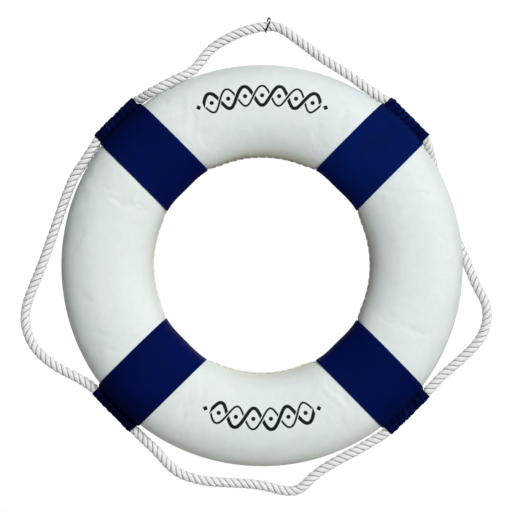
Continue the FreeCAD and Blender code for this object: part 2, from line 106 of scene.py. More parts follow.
ROPE_BOTTOM = [
    (150.8, 0, -211.2), (144.1, 0, -215.3), (137.2, 0, -219.3), (130.4, 0, -223.4),
    (123.6, 0, -227.4), (116.7, 0, -231.3), (109.7, 0, -235.0), (102.7, 0, -238.7),
    (95.6, 0, -242.3), (88.6, 0, -246.1), (81.8, 0, -250.1), (75.1, 0, -254.3),
    (68.8, 0, -259.0), (62.7, 0, -264.1), (57.0, 0, -269.7), (51.2, 0, -275.2),
    (44.5, 0, -279.2), (36.9, 0, -280.9), (28.9, 0, -280.6), (21.2, 0, -279.0),
    (13.4, 0, -277.0), (5.7, 0, -275.2), (-2.1, 0, -273.7), (-9.9, 0, -272.6),
    (-17.8, 0, -271.8), (-25.7, 0, -271.3), (-33.6, 0, -270.9), (-41.5, 0, -270.6),
    (-49.5, 0, -270.2), (-57.4, 0, -269.7), (-65.3, 0, -268.9), (-73.1, 0, -267.8),
    (-80.9, 0, -266.3), (-88.5, 0, -264.2), (-96.0, 0, -261.6), (-103.1, 0, -258.1),
    (-109.7, 0, -253.7), (-115.6, 0, -248.5), (-121.1, 0, -242.7), (-126.3, 0, -236.7),
    (-131.7, 0, -230.9), (-137.3, 0, -225.4), (-143.2, 0, -220.0), (-149.0, 0, -214.6),
    (-154.7, 0, -209.1),
]
ROPE_LEFT = [
    (-212.7, 0, -151.2), (-219.2, 0, -146.6), (-226.0, 0, -142.4), (-233.1, 0, -138.7),
    (-240.2, 0, -135.1), (-247.3, 0, -131.4), (-254.3, 0, -127.4), (-261.1, 0, -123.1),
    (-267.5, 0, -118.3), (-273.6, 0, -113.1), (-279.0, 0, -107.4), (-283.9, 0, -101.1),
    (-288.0, 0, -94.1), (-291.2, 0, -86.8), (-293.5, 0, -79.1), (-294.8, 0, -71.2),
    (-295.0, 0, -63.2), (-294.2, 0, -55.3), (-292.4, 0, -47.5), (-290.0, 0, -39.8),
    (-287.2, 0, -32.3), (-284.2, 0, -24.8), (-281.2, 0, -17.4), (-278.2, 0, -10.0),
    (-275.3, 0, -2.6), (-272.5, 0, 4.9), (-269.8, 0, 12.4), (-267.1, 0, 20.0),
    (-264.5, 0, 27.6), (-261.9, 0, 35.1), (-259.4, 0, 42.7), (-256.8, 0, 50.3),
    (-254.3, 0, 57.9), (-251.7, 0, 65.5), (-249.1, 0, 73.1), (-246.5, 0, 80.6),
    (-243.7, 0, 88.2), (-240.8, 0, 95.6), (-237.7, 0, 103.0), (-234.3, 0, 110.2),
    (-230.3, 0, 117.1), (-225.5, 0, 123.6), (-221.1, 0, 130.2), (-216.9, 0.1, 137.1),
    (-212.5, 0, 143.8), (-208.8, 0, 150.8),
]
# Name, points, first and last band, outward direction, where the moving part would begin in the
# points (it would end at the last), and how far out a blend would reach; the rope below neither
# moves nor blends the loops, so these last three go unused
ROPE_LOOPS = [
    ("left", ROPE_LEFT, "lower_left", "upper_left", (-1, 0, 0), 0, 22.0),
    ("top", ROPE_TOP, "upper_left", "upper_right", (0, 0, 1), 10, 22.0),
    ("right", ROPE_RIGHT, "upper_right", "lower_right", (1, 0, 0), 21, 20.0),
    ("bottom", ROPE_BOTTOM, "lower_right", "lower_left", (0, 0, -1), 0, 22.0),
]

# Centre line of the wire hanger: x, y, z
HANGER_R = 0.9
HANGER_PATH = [
    (10.5, -7.0, 305.2), (9.0, -7.5, 302.0), (7.4, -7.5, 298.6), (5.9, -6.2, 294.8),
    (4.9, -3.0, 292.6), (4.7, 0.6, 292.0), (4.9, 3.9, 293.0), (5.3, 6.6, 295.9),
    (5.8, 7.5, 299.5), (6.4, 7.0, 303.2), (6.9, 5.2, 306.4), (7.6, 2.6, 308.8),
    (8.5, -0.2, 309.8), (9.4, -2.8, 309.2), (10.0, -4.9, 307.6), (10.35, -6.4, 306.2),
]

# Creases in the front of the cover: start (x, z), end (x, z), width, depth
CREASES = [
    ((72, -150), (106, -178), 2.4, 0.55), ((66, -160), (98, -186), 2.2, 0.45),
    ((80, -144), (113, -169), 2.2, 0.40), ((60, -171), (88, -192), 2.4, 0.35),
    ((-118, 108), (-92, 152), 3.0, 0.30), ((-160, 70), (-150, 108), 3.0, 0.30),
    ((158, 62), (146, 104), 3.0, 0.35), ((172, 50), (166, 92), 2.6, 0.28),
    ((-150, -92), (-130, -126), 2.8, 0.30), ((92, 132), (72, 160), 2.8, 0.30),
    ((-70, -158), (-98, -172), 2.6, 0.30), ((206, -60), (196, -96), 2.6, 0.28),
]


# ----------------------------------------------------------------- maths
def ease(x):
    """Smoothstep of x held between 0 and 1."""
    x = np.clip(x, 0.0, 1.0)
    return x * x * (3 - 2 * x)


def bell(x, width=1.0):
    return np.exp(-(x / width) ** 2)


class Waves:
    """Smooth seeded noise in space, about -1 to 1, with waves of about the given size."""

    def __init__(self, seed, size):
        rng = np.random.RandomState(seed)
        direction = rng.normal(size=(24, 3))
        direction /= np.linalg.norm(direction, axis=1)[:, None]
        frequency = 2 * math.pi / (size * (1 + 0.6 * rng.uniform(-1, 1, 24)))
        self.waves = direction * frequency[:, None]
        self.phases = rng.uniform(0, 2 * math.pi, 24)

    def __call__(self, points):
        total = np.sin(points.reshape(-1, 3) @ self.waves.T + self.phases).sum(1)
        return (total / math.sqrt(len(self.phases)) * 0.9).reshape(points.shape[:-1])


broad_waves, medium_waves, small_waves = Waves(3, 95.0), Waves(5, 34.0), Waves(8, 13.0)


def round_axis(radius, y, angle):
    """Points at a radius from the ring's axis, a y and a ring angle in radians."""
    return np.stack(np.broadcast_arrays(radius * np.cos(angle), y, radius * np.sin(angle)), -1)


def band_point(band, outward, y, across):
    """Points in a band's own directions: outward from the ring's axis, y, and along the ring."""
    angle = math.radians(BAND_ANGLES[band])
    cos, sin = math.cos(angle), math.sin(angle)
    x, y, z = np.broadcast_arrays(outward * cos - across * sin, y, outward * sin + across * cos)
    return np.stack([x, y, z], -1)


def run_length(points):
    return np.concatenate([[0], np.cumsum(np.linalg.norm(np.diff(points, axis=0), axis=1))])


def interp_columns(wanted, known, table):
    return np.stack([np.interp(wanted, known, column) for column in table.T], -1)


def natural_cubic(points):
    """A natural cubic through points, as a function of chord length, and its whole length."""
    points = np.array(points, float)
    knots = run_length(points)
    count, gaps = len(points), np.diff(knots)
    matrix, right = np.zeros((count, count)), np.zeros((count, 3))
    matrix[0, 0] = matrix[-1, -1] = 1
    for i in range(1, count - 1):
        matrix[i, i - 1:i + 2] = gaps[i - 1], 2 * (gaps[i - 1] + gaps[i]), gaps[i]
        right[i] = 6 * ((points[i + 1] - points[i]) / gaps[i]
                        - (points[i] - points[i - 1]) / gaps[i - 1])
    bend = np.linalg.solve(matrix, right)

    def curve(x):
        k = np.clip(np.searchsorted(knots, x) - 1, 0, count - 2)
        to_next, to_last = (knots[k + 1] - x)[:, None], (x - knots[k])[:, None]
        gap = gaps[k][:, None]
        return ((bend[k] * to_next**3 + bend[k + 1] * to_last**3) / (6 * gap)
                + (points[k] / gap - bend[k] * gap / 6) * to_next
                + (points[k + 1] / gap - bend[k + 1] * gap / 6) * to_last)

    return curve, knots[-1]


def even(points, step):
    """Evenly spaced points on a smooth line through points, and their lengths along it."""
    curve, end = natural_cubic(points)
    dense = curve(np.linspace(0, end, int(end * 8)))
    length = run_length(dense)
    count = max(2, int(round(length[-1] / step)))
    wanted = np.linspace(0, length[-1], count + 1)
    return interp_columns(wanted, length, dense), wanted


def frames(line, start=(0, 1, 0)):
    """Two twist-free side vectors at each point of a line."""
    tangents = np.gradient(line, axis=0)
    tangents /= np.linalg.norm(tangents, axis=1)[:, None]
    sides = np.zeros_like(tangents)
    side = np.array(start, float)
    for i, tangent in enumerate(tangents):
        side = side - tangent * (side @ tangent)
        side /= np.linalg.norm(side)
        sides[i] = side
    return sides, np.cross(tangents, sides)


# ----------------------------------------------------------------- meshes
def volume(verts, faces):
    total = 0.0
    for group in faces:
        corners = [verts[group[:, k]] for k in range(group.shape[1])]
        for second, third in zip(corners[1:], corners[2:]):
            total += np.einsum("ij,ij->", corners[0], np.cross(second, third)) / 6
    return total


def add_object(name, data):
    ob = bpy.data.objects.new(name, data)
    scene.collection.objects.link(ob)
    return ob


def build(name, parts, material):
    """One mesh object from closed parts: (verts, list of face arrays, {attribute: values})."""
    all_verts, polygons, attributes, offset = [], [], {}, 0
    for verts, faces, values in parts:
        if volume(verts, faces) < 0:
            faces = [group[:, ::-1] for group in faces]
        polygons += [group + offset for group in faces]
        all_verts.append(verts)
        for key, value in values.items():
            attributes.setdefault(key, []).append(value)
        offset += len(verts)
    verts = np.concatenate(all_verts) * MM
    loops = np.concatenate([group.ravel() for group in polygons])
    sizes = np.concatenate([np.full(len(group), group.shape[1]) for group in polygons])
    starts = np.concatenate([[0], np.cumsum(sizes)[:-1]])
    mesh = bpy.data.meshes.new(name)
    mesh.vertices.add(len(verts))
    mesh.vertices.foreach_set("co", verts.astype(np.float32).ravel())
    mesh.loops.add(len(loops))
    mesh.loops.foreach_set("vertex_index", loops.astype(np.int32))
    mesh.polygons.add(len(sizes))
    mesh.polygons.foreach_set("loop_start", starts.astype(np.int32))
    mesh.polygons.foreach_set("loop_total", sizes.astype(np.int32))
    mesh.update(calc_edges=True)
    mesh.validate()
    mesh.polygons.foreach_set("use_smooth", np.ones(len(mesh.polygons), bool))
    for key, values in attributes.items():
        values = np.concatenate(values).astype(np.float32)
        kind, field = ("FLOAT_VECTOR", "vector") if values.ndim == 2 else ("FLOAT", "value")
        attribute = mesh.attributes.new(key, kind, "POINT")
        attribute.data.foreach_set(field, values.ravel())
    mesh.materials.append(material)
    ob = add_object(name, mesh)
    return ob


def stand_in(ob, replaced, part="root"):
    """Let the object ride on a moving part and take a CAD piece's place."""
    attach(ob, part)
    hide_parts(replaced)


def grid_faces(rows, columns, close_rows):
    """Quads of a grid whose columns close on themselves, and its rows if asked."""
    i, j = np.meshgrid(np.arange(rows if close_rows else rows - 1), np.arange(columns),
                       indexing="ij")
    next_i, next_j = (i + 1) % rows, (j + 1) % columns
    corners = [i * columns + j, next_i * columns + j, next_i * columns + next_j,
               i * columns + next_j]
    return np.stack(corners, -1).reshape(-1, 4)


def flatten(values):
    return values.reshape((-1,) + values.shape[2:])


def ring_part(grid, values):
    """A part from a grid of points closed both ways."""
    faces = grid_faces(*grid.shape[:2], True)
    return flatten(grid), [faces], {key: flatten(value) for key, value in values.items()}


def tube_part(rings, values):
    """A capped tube from rings of points (stations, around, 3)."""
    stations, around = rings.shape[:2]
    verts = np.concatenate([flatten(rings), [rings[0].mean(0), rings[-1].mean(0)]])
    i = np.arange(around)
    next_i = (i + 1) % around
    first_centre, last_centre = len(verts) - 2, len(verts) - 1
    last = (stations - 1) * around
    faces = [grid_faces(stations, around, False),
             np.stack([np.full(around, first_centre), next_i, i], -1),
             np.stack([np.full(around, last_centre), last + i, last + next_i], -1)]
    flat = {key: flatten(value) for key, value in values.items()}
    capped = {key: np.concatenate([value, value[:1], value[last:last + 1]])
              for key, value in flat.items()}
    return verts, faces, capped


def sweep(line, sides, others, around, radius):
    """Rings of points about a line; radius is a number or one per station, shaped (n, 1, 1)."""
    return line[:, None, :] + radius * (np.cos(around)[None, :, None] * sides[:, None, :]
                                        + np.sin(around)[None, :, None] * others[:, None, :])


def strand_values(around, along):
    """For each vertex of a strand: cosine and sine of its place round it, and length along."""
    grids = np.broadcast_arrays(np.cos(around)[None], np.sin(around)[None], along[:, None])
    return np.stack(grids, -1)


def full_turn(count):
    return np.linspace(0, 2 * math.pi, count, endpoint=False)


def ply_cord(points, radius, pitch, plies, around, step):
    """A twisted cord with tapered ends along points: one part per ply."""
    line, length = even(points, step)
    sides, others = frames(line)
    ply_r = radius * {1: 1.0, 2: 0.62, 3: 0.56}[plies]
    to_end = np.minimum(length, length[-1] - length)
    taper = np.minimum(1.0, (to_end + 0.25) / 0.9)
    turn = full_turn(around)
    parts = []
    for k in range(plies):
        phase = (2 * math.pi * (length / pitch + k / plies))[:, None]
        centre = line + (radius - ply_r) * (np.cos(phase) * sides + np.sin(phase) * others)
        rings = sweep(centre, sides, others, turn, ply_r * taper[:, None, None])
        parts.append(tube_part(rings, {"strand": strand_values(turn, length), "place": rings}))
    return parts


# ----------------------------------------------------------------- shader building
class Signal:
    """An output in a shader; arithmetic on it adds Math nodes."""

    def __init__(self, shader, socket):
        self.shader, self.socket = shader, socket

    def __add__(self, other):
        return self.shader.math("ADD", self, other)

    def __radd__(self, other):
        return self.shader.math("ADD", other, self)

    def __sub__(self, other):
        return self.shader.math("SUBTRACT", self, other)

    def __rsub__(self, other):
        return self.shader.math("SUBTRACT", other, self)

    def __mul__(self, other):
        return self.shader.math("MULTIPLY", self, other)

    def __truediv__(self, other):
        return self.shader.math("DIVIDE", self, other)

    def __abs__(self):
        return self.shader.math("ABSOLUTE", self)

    def sin(self):
        return self.shader.math("SINE", self)

    def sqrt(self):
        return self.shader.math("SQRT", self)

    def max(self, other):
        return self.shader.math("MAXIMUM", self, other)

    def smooth(self, over=(0.3, 0.7), to=(0.0, 1.0)):
        """Ease between the `to` values while the signal crosses `over`."""
        inputs = dict(enumerate((self, *over, *to)))
        return self.shader.node("MapRange", inputs, interpolation_type="SMOOTHSTEP")

    def fall(self, over):
        return self.smooth(over, to=(1.0, 0.0))


class Shader:
    """The node tree of a material or world."""

    def __init__(self, owner, output="OutputMaterial"):
        self.owner = owner
        owner.use_nodes = True
        self.tree = owner.node_tree
        self.tree.nodes.clear()
        self.output = self.tree.nodes.new("ShaderNode" + output)

    def put(self, socket, value):
        if isinstance(value, Signal):
            self.tree.links.new(value.socket, socket)
        else:
            socket.default_value = value

    def node(self, kind, inputs=None, output=0, **settings):
        """Add a node, fill its inputs and hand back one output."""
        node = self.tree.nodes.new("ShaderNode" + kind)
        for key, value in settings.items():
            setattr(node, key, value)
        for key, value in (inputs or {}).items():
            self.put(node.inputs[key], value)
        return Signal(self, node.outputs[output])

    def finish(self, surface):
        self.put(self.output.inputs[0], surface)
        return self.owner

    def principled(self, **inputs):
        """End in a Principled BSDF; underscores stand for the spaces in input names."""
        inputs = {key.replace("_", " "): value for key, value in inputs.items()}
        return self.finish(self.node("BsdfPrincipled", inputs))

    def math(self, operation, *values, clamp=False):
        return self.node("Math", dict(enumerate(values)), operation=operation, use_clamp=clamp)

    def attribute(self, name, output="Fac"):
        return self.node("Attribute", output=output, attribute_name=name)

    def split(self, vector):
        node = self.node("SeparateXYZ", {0: vector}).socket.node
        return [Signal(self, socket) for socket in node.outputs]

    def vector(self, x, y):
        return self.node("CombineXYZ", {0: x, 1: y, 2: 0.0})

    def noise(self, vector, scale, detail=2.0, roughness=0.5):
        inputs = {"Vector": vector, "Scale": scale, "Detail": detail, "Roughness": roughness}
        return self.node("TexNoise", inputs, "Fac")

    def mix(self, base, to, amount):
        """Lay the colour `to` over the base colour."""
        base, to = (c if isinstance(c, Signal) else (*c, 1) for c in (base, to))
        return self.node("Mix", {0: amount, 6: base, 7: to}, 2, data_type="RGBA")

    def bump(self, height, strength, distance, **normal):
        inputs = {"Strength": strength, "Distance": distance, "Height": height}
        if normal:
            inputs["Normal"] = normal["normal"]
        return self.node("Bump", inputs)

    def weave(self, cloth, pitch):
        """Plain weave height, 0 to 1, from cloth coordinates in mm."""
        x, y, _ = self.split(cloth)
        warp = (x * (math.pi / pitch)).sin()
        weft = (y * (math.pi / pitch)).sin()
        crossing = warp * weft * 0.3
        return (abs(warp) * (0.7 + crossing)).max(abs(weft) * (0.7 - crossing))

    def strand(self):
        """Turns round the strand, and length along it."""
        cos, sin, along = self.split(self.attribute("strand", "Vector"))
        return self.math("ARCTAN2", sin, cos) / (2 * math.pi), along


def new_shader(name):
    return Shader(bpy.data.materials.new(name))


# ----------------------------------------------------------------- materials
# Attributes: "place" is the point in mm, "cloth" the point on the flat cloth, "strand" the
# place on a cord, and the rest are amounts from 0 to 1. `over` is the span of a signal that
# a ramp covers, so it sets where a patch begins and how soft its edge is.
def ornament(shader, x, z, jitter, middle, radius, eyes, eye_width, swing):
    """Ink mask, 0 to 1, of a row of interlaced waves on an arc about a ring angle in degrees."""
    wide, narrow, soft = 2.15, 1.25, 0.22  # half widths of the two waves, softness of edges
    clear = (0.7, 1.1)                     # gap kept beside the wave on top
    pip, pip_edge = 2.4, 2.8               # radius of the dot in each eye
    tip_out, tip, tip_edge = 6.5, 3.2, 3.6  # diamond beyond each end: distance and half width
    end_soft = 0.3
    from_axis = (x * x + z * z).sqrt()
    cos, sin = math.cos(math.radians(middle)), math.sin(math.radians(middle))
    along = x * sin - z * cos
    outward = x * cos + z * sin
    run = shader.math("ARCTAN2", along, outward) * radius
    rise = from_axis - radius
    half = eyes * eye_width / 2
    phase = (run + half) * (math.pi / eye_width)
    wave = phase.sin() * swing
    cosine = shader.math("COSINE", phase)
    slope = cosine * (swing * math.pi / eye_width)
    steepness = (slope * slope + 1.0).sqrt()
    from_wide = abs(rise - wave) / steepness + jitter
    from_narrow = abs(rise + wave) / steepness + jitter
    ink_wide = from_wide.fall((wide - soft, wide + soft))
    ink_narrow = from_narrow.fall((narrow - soft, narrow + soft))
    # the waves pass over and under each other in turn
    wide_on_top = cosine.smooth((-0.05, 0.05))
    near_wide = from_wide.fall((wide + clear[0], wide + clear[1]))
    near_narrow = from_narrow.fall((narrow + clear[0], narrow + clear[1]))
    ink_narrow = ink_narrow * (1.0 - wide_on_top * near_wide)
    ink_wide = ink_wide * (1.0 - (1.0 - wide_on_top) * near_narrow)
    from_middle = abs(run)
    row_end = (half, half + end_soft)
    waves = ink_wide.max(ink_narrow) * from_middle.fall(row_end)
    in_eye = shader.math("FLOORED_MODULO", run + half, eye_width) - eye_width / 2
    from_pip = (in_eye * in_eye + rise * rise).sqrt()
    pips = from_pip.fall((pip, pip_edge)) * from_middle.fall(row_end)
    tips = (abs(from_middle - (half + tip_out)) + abs(rise)).fall((tip, tip_edge))
    return waves.max(pips).max(tips) * outward.smooth((0.0, 1.0))


def canvas(name, printed):
    """White canvas with age stains and painted shade, with or without the ornament."""
    shader = new_shader(name)
    cloth = shader.attribute("cloth", "Vector")
    place = shader.attribute("place", "Vector")
    x, _, z = shader.split(place)
    blotch = shader.noise(place, scale=0.018, detail=3, roughness=0.6)
    fine = shader.noise(place, scale=0.35, detail=3, roughness=0.65)
    patch = shader.noise(place, scale=0.075, detail=4, roughness=0.7)
    haze = shader.noise(place, scale=0.032)
    weave = shader.weave(cloth, pitch=0.75)
    # painted cool light: the right and upper side of the ring is tinted bluish, as if lit by a cool
    # lamp
    painted_cool_light = (x + z * 0.4).smooth(over=(-220.0, 260.0))
    colour = shader.mix((0.765, 0.845, 0.815), to=(0.80, 0.85, 0.84),
                        amount=blotch.smooth(over=(0.35, 0.7)))
    colour = shader.mix(colour, to=(0.80, 0.865, 0.905), amount=painted_cool_light * 0.6)
    colour = shader.mix(colour, to=(0.69, 0.775, 0.735),
                        amount=patch.smooth(over=(0.40, 0.66)) * 0.32)
    colour = shader.mix(colour, to=(0.77, 0.83, 0.90),
                        amount=haze.smooth(over=(0.50, 0.68)) * 0.35)
    colour = shader.mix(colour, to=(0.64, 0.69, 0.65),
                        amount=fine.smooth(over=(0.52, 0.8)) * 0.16)
    # age stains; round the inner seam their strength is also painted shade
    stain_and_shade = shader.attribute("age_and_shade") * fine.smooth(over=(0.2, 0.75), to=(0.65, 1.0))
    colour = shader.mix(colour, to=(0.62, 0.575, 0.375), amount=stain_and_shade)
    # painted shade in the crevice along the laced inner seam
    colour = shader.mix(colour, to=(0.29, 0.27, 0.18), amount=shader.attribute("painted_crevice_shade"))
    # painted shade along the outer edge, broken up like grime, strongest on the left, which turns
    # away from the light
    uneven = (patch * 0.5 + fine * 0.5).smooth(over=(0.3, 0.65), to=(0.6, 1.0))
    colour = shader.mix(colour, to=(0.25, 0.28, 0.26), amount=shader.attribute("grime_and_painted_shade") * uneven)
    # painted shade in the gaps between the weave's threads
    colour = shader.mix(colour, to=(0.50, 0.53, 0.50), amount=(1.0 - weave) * 0.10)
    roughness = blotch.smooth(to=(0.50, 0.62))
    slub_at = shader.vector(shader.split(cloth)[0] * 0.15, shader.split(cloth)[1])
    height = weave * 0.7 + shader.noise(slub_at, scale=0.9) * 0.5
    if printed:
        jitter = (shader.noise(place, scale=0.9) - 0.5) * 0.5
        top = ornament(shader, x, z, jitter, middle=90, radius=207.5, eyes=7, eye_width=21.0,
                       swing=12.2)
        bottom = ornament(shader, x, z, jitter, middle=-90, radius=189.5, eyes=6,
                          eye_width=21.5, swing=12.8)
        ink = top.max(bottom)
        wear = shader.noise(place, scale=1.6, detail=3, roughness=0.7)
        colour = shader.mix(colour, to=(0.003, 0.007, 0.009),
                            amount=ink * wear.smooth(over=(0.20, 0.34), to=(0.9, 1.0)))
        roughness = roughness + ink * 0.2
        roughness = roughness - ink * 0.12
    soft = shader.bump(shader.noise(place, scale=0.12, detail=3, roughness=0.6),
                       strength=0.25, distance=0.0006)
    return shader.principled(
        Base_Color=colour, Roughness=roughness, Specular_IOR_Level=0.14 if printed else 0.2,
        Sheen_Weight=0.03, Sheen_Roughness=0.5,
        Normal=shader.bump(height, strength=0.35, distance=0.00012, normal=soft))


def navy(name):
    """Navy cloth, paler on rubbed edges, with painted highlights on fold crests and painted shade in
    hollows.
    """
    shader = new_shader(name)
    cloth = shader.attribute("cloth", "Vector")
    place = shader.attribute("place", "Vector")
    blotch = shader.noise(place, scale=0.03, detail=3, roughness=0.6)
    lint = shader.noise(place, scale=0.9, detail=3, roughness=0.7)
    weave = shader.weave(cloth, pitch=0.6)
    colour = shader.mix((0.0000, 0.0028, 0.050), to=(0.0001, 0.0046, 0.074),
                        amount=blotch.smooth())
    # painted highlight on the weave's raised threads
    colour = shader.mix(colour, to=(0.0001, 0.0065, 0.092), amount=weave * 0.35)
    colour = shader.mix(colour, to=(0.002, 0.030, 0.20),
                        amount=lint.smooth(over=(0.62, 0.8)) * 0.16)
    rubbed = shader.attribute("edge") * lint.smooth(over=(0.3, 0.6), to=(0.15, 0.6))
    colour = shader.mix(colour, to=(0.002, 0.014, 0.12), amount=rubbed)
    # painted light: the upper right band, which faces the key light, is made brighter blue
    x, _, z = shader.split(place)
    upper_right = (x + z).smooth(over=(120.0, 250.0)) * blotch.smooth(to=(0.45, 0.85))
    colour = shader.mix(colour, to=(0.0003, 0.0100, 0.108), amount=upper_right)
    # painted shade on the outer part of each band
    shade = shader.attribute("shade") * blotch.smooth(over=(0.25, 0.75), to=(1.0, 0.75))
    colour = shader.mix(colour, to=(0.0000, 0.0008, 0.016), amount=shade)
    # painted shade in the fold hollows, painted highlight on the fold crests
    fold = shader.attribute("fold")
    colour = shader.mix(colour, to=(0.0001, 0.0006, 0.009),
                        amount=fold.fall(over=(0.12, 0.62)) * 0.82)
    crest = fold.smooth(over=(0.72, 1.0)) * lint.smooth(over=(0.35, 0.65), to=(0.1, 0.55))
    colour = shader.mix(colour, to=(0.001, 0.013, 0.125), amount=crest)
    x, y, _ = shader.split(cloth)
    height = weave + shader.noise(shader.vector(x * 0.12, y), scale=1.1) * 0.6
    soft = shader.bump(shader.noise(place, scale=0.10, detail=3, roughness=0.6),
                       strength=0.3, distance=0.0007)
    return shader.principled(
        Base_Color=colour, Roughness=blotch.smooth(to=(0.62, 0.78)), Specular_IOR_Level=0.03,
        Sheen_Weight=0.0, Sheen_Roughness=0.35, Sheen_Tint=(0.05, 0.2, 0.9, 1),
        Normal=shader.bump(height, strength=0.5, distance=0.00016, normal=soft))


def laid_rope(name):
    """White rope strands of fine yarns, with painted shade and grime in the grooves."""
    shader = new_shader(name)
    turns, along = shader.strand()
    place = shader.attribute("place", "Vector")
    dirt = shader.attribute("dirt")
    # yarns run back against the lay of the strand
    lay = turns * 13.0 + along * 0.10
    wobble = shader.noise(shader.vector(along * 0.08, turns * 6.0), scale=1.0) * 0.8
    yarn = abs(((lay + wobble) * math.pi).sin())
    fuzz = shader.noise(shader.vector(along * 2.2, turns * 70.0), scale=1.0, detail=3,
                        roughness=0.7)
    blotch = shader.noise(place, scale=0.05, detail=3, roughness=0.6)
    colour = shader.mix((0.84, 0.865, 0.855), to=(0.90, 0.915, 0.915), amount=blotch.smooth())
    # painted shade in the fine grooves between yarns
    colour = shader.mix(colour, to=(0.55, 0.57, 0.56), amount=(1.0 - yarn) * 0.16)
    # painted shade in the grooves between strands, browned by dirt spots on the low side
    groove = shader.attribute("crest").fall(over=(0.02, 0.80))
    spots = shader.noise(place, scale=0.16, roughness=0.6).smooth(over=(0.42, 0.62))
    grime_and_painted_shade = shader.mix((0.30, 0.31, 0.30), to=(0.115, 0.085, 0.045), amount=dirt * spots)
    depth = shader.math("ADD", 0.55, dirt * 0.4, clamp=True)
    colour = shader.mix(colour, to=grime_and_painted_shade, amount=groove * depth)
    colour = shader.mix(colour, to=(0.50, 0.47, 0.36), amount=dirt * spots * 0.10)
    return shader.principled(
        Base_Color=colour, Roughness=0.82, Specular_IOR_Level=0.25, Sheen_Weight=0.12,
        Sheen_Roughness=0.4,
        Normal=shader.bump(yarn * 0.8 + fuzz * 0.5, strength=0.55, distance=0.00030))


def cord(name, light, dark, roughness=0.75, shine=0.3, contrast=0.6, nap=0.15):
    """Thin twisted cord; contrast sets the painted shade in the grooves between plies."""
    shader = new_shader(name)
    turns, along = shader.strand()
    place = shader.attribute("place", "Vector")
    ply = abs(((turns * 3.0 + along * 0.9) * math.pi).sin())
    mottle = shader.noise(place, scale=0.6, detail=3, roughness=0.6)
    colour = shader.mix(light, to=tuple(0.86 * c for c in light), amount=mottle.smooth())
    # painted shade in the grooves between plies
    colour = shader.mix(colour, to=dark, amount=(1.0 - ply) * contrast)
    return shader.principled(
        Base_Color=colour, Roughness=roughness, Specular_IOR_Level=shine, Sheen_Weight=nap,
        Sheen_Roughness=0.6, Normal=shader.bump(ply, strength=0.8, distance=0.00012))


def foam_cells(name):
    shader = new_shader(name)
    place = shader.attribute("place", "Vector")
    cell = shader.node("TexVoronoi", {"Vector": place, "Scale": 0.45}, "Distance")
    mottle = shader.noise(place, scale=0.04, detail=3)
    colour = shader.mix((0.74, 0.75, 0.72), to=(0.80, 0.80, 0.78), amount=mottle.smooth())
    colour = shader.mix(colour, to=(0.55, 0.56, 0.54),
                        amount=cell.smooth(over=(0.5, 0.9), to=(0.0, 0.4)))
    return shader.principled(Base_Color=colour, Roughness=0.9,
                             Normal=shader.bump(cell, strength=0.6, distance=0.0004))


def coated_wire(name):
    """Dark coating worn through to metal in spots."""
    shader = new_shader(name)
    place = shader.attribute("place", "Vector")
    patch = shader.noise(place, scale=0.25, detail=3, roughness=0.6)
    fine = shader.noise(place, scale=1.4, detail=3, roughness=0.7)
    worn = fine.smooth(over=(0.58, 0.68)) * patch.smooth(over=(0.45, 0.6))
    return shader.principled(
        Base_Color=shader.mix((0.016, 0.016, 0.018), to=(0.16, 0.15, 0.14), amount=worn),
        Metallic=worn.smooth(over=(0, 1), to=(0.35, 0.95)),
        Roughness=fine.smooth(to=(0.32, 0.55)),
        Normal=shader.bump(fine, strength=0.25, distance=0.0001))


canvas_front = canvas("canvas_white_printed", printed=True)
canvas_back = canvas("canvas_white_plain", printed=False)
navy_cloth = navy("canvas_navy_weave")
rope_white = laid_rope("laid_rope_white")
lace_cord = cord("lacing_cord", light=(0.99, 0.99, 0.95), dark=(0.66, 0.64, 0.55),
                 roughness=0.7, contrast=0.35, nap=0.6)
seam_cord = cord("seam_thread", light=(0.74, 0.76, 0.73), dark=(0.45, 0.45, 0.42))
navy_thread = cord("navy_thread", light=(0.001, 0.008, 0.085), dark=(0.0005, 0.002, 0.02),
                   roughness=0.6, shine=0.06, nap=0.0)
twine = cord("whipping_twine", light=(0.62, 0.60, 0.50), dark=(0.30, 0.28, 0.22))
foam_white = foam_cells("foam_cells")
wire_dark = coated_wire("coated_wire")


# ----------------------------------------------------------------- the tube's section
class Section:
    """Half the tube's section, front or back, from the inner to the outer seam, grown
    outward by `grow`: radius, y, outward normal and length so far."""

    def __init__(self, side, grow=0.0):
        turn = np.linspace(0, math.pi, 4001)
        half_w, half_d, power = TUBE_HALF_W + grow, TUBE_HALF_D + grow, 2 / SECTION_POWER
        across = -half_w * np.sign(np.cos(turn)) * np.abs(np.cos(turn)) ** power
        y = half_d * np.abs(np.sin(turn)) ** power
        normal_r = np.sign(across) * np.abs(across / half_w) ** (SECTION_POWER - 1) / half_w
        normal_y = np.abs(y / half_d) ** (SECTION_POWER - 1) / half_d
        if side == BACK:
            y = np.minimum(y, BACK_FLAT + grow)
        size = np.hypot(normal_r, normal_y)
        steps = np.hypot(np.diff(across), np.diff(y))
        self.length = np.concatenate([[0], np.cumsum(steps)])
        self.end = self.length[-1]
        self.radius, self.y = MID_R + across, side * y
        self.normal_r, self.normal_y = normal_r / size, side * normal_y / size

    def at(self, s):
        """Radius, y and unit normal at lengths from the inner seam."""
        radius, y, normal_r, normal_y = (
            np.interp(s, self.length, values)
            for values in (self.radius, self.y, self.normal_r, self.normal_y))
        normal = np.stack([normal_r, normal_y], -1)
        normal /= np.linalg.norm(normal, axis=-1)[..., None]
        return radius, y, normal[..., 0], normal[..., 1]


SECTIONS = {FRONT: Section(FRONT), BACK: Section(BACK)}


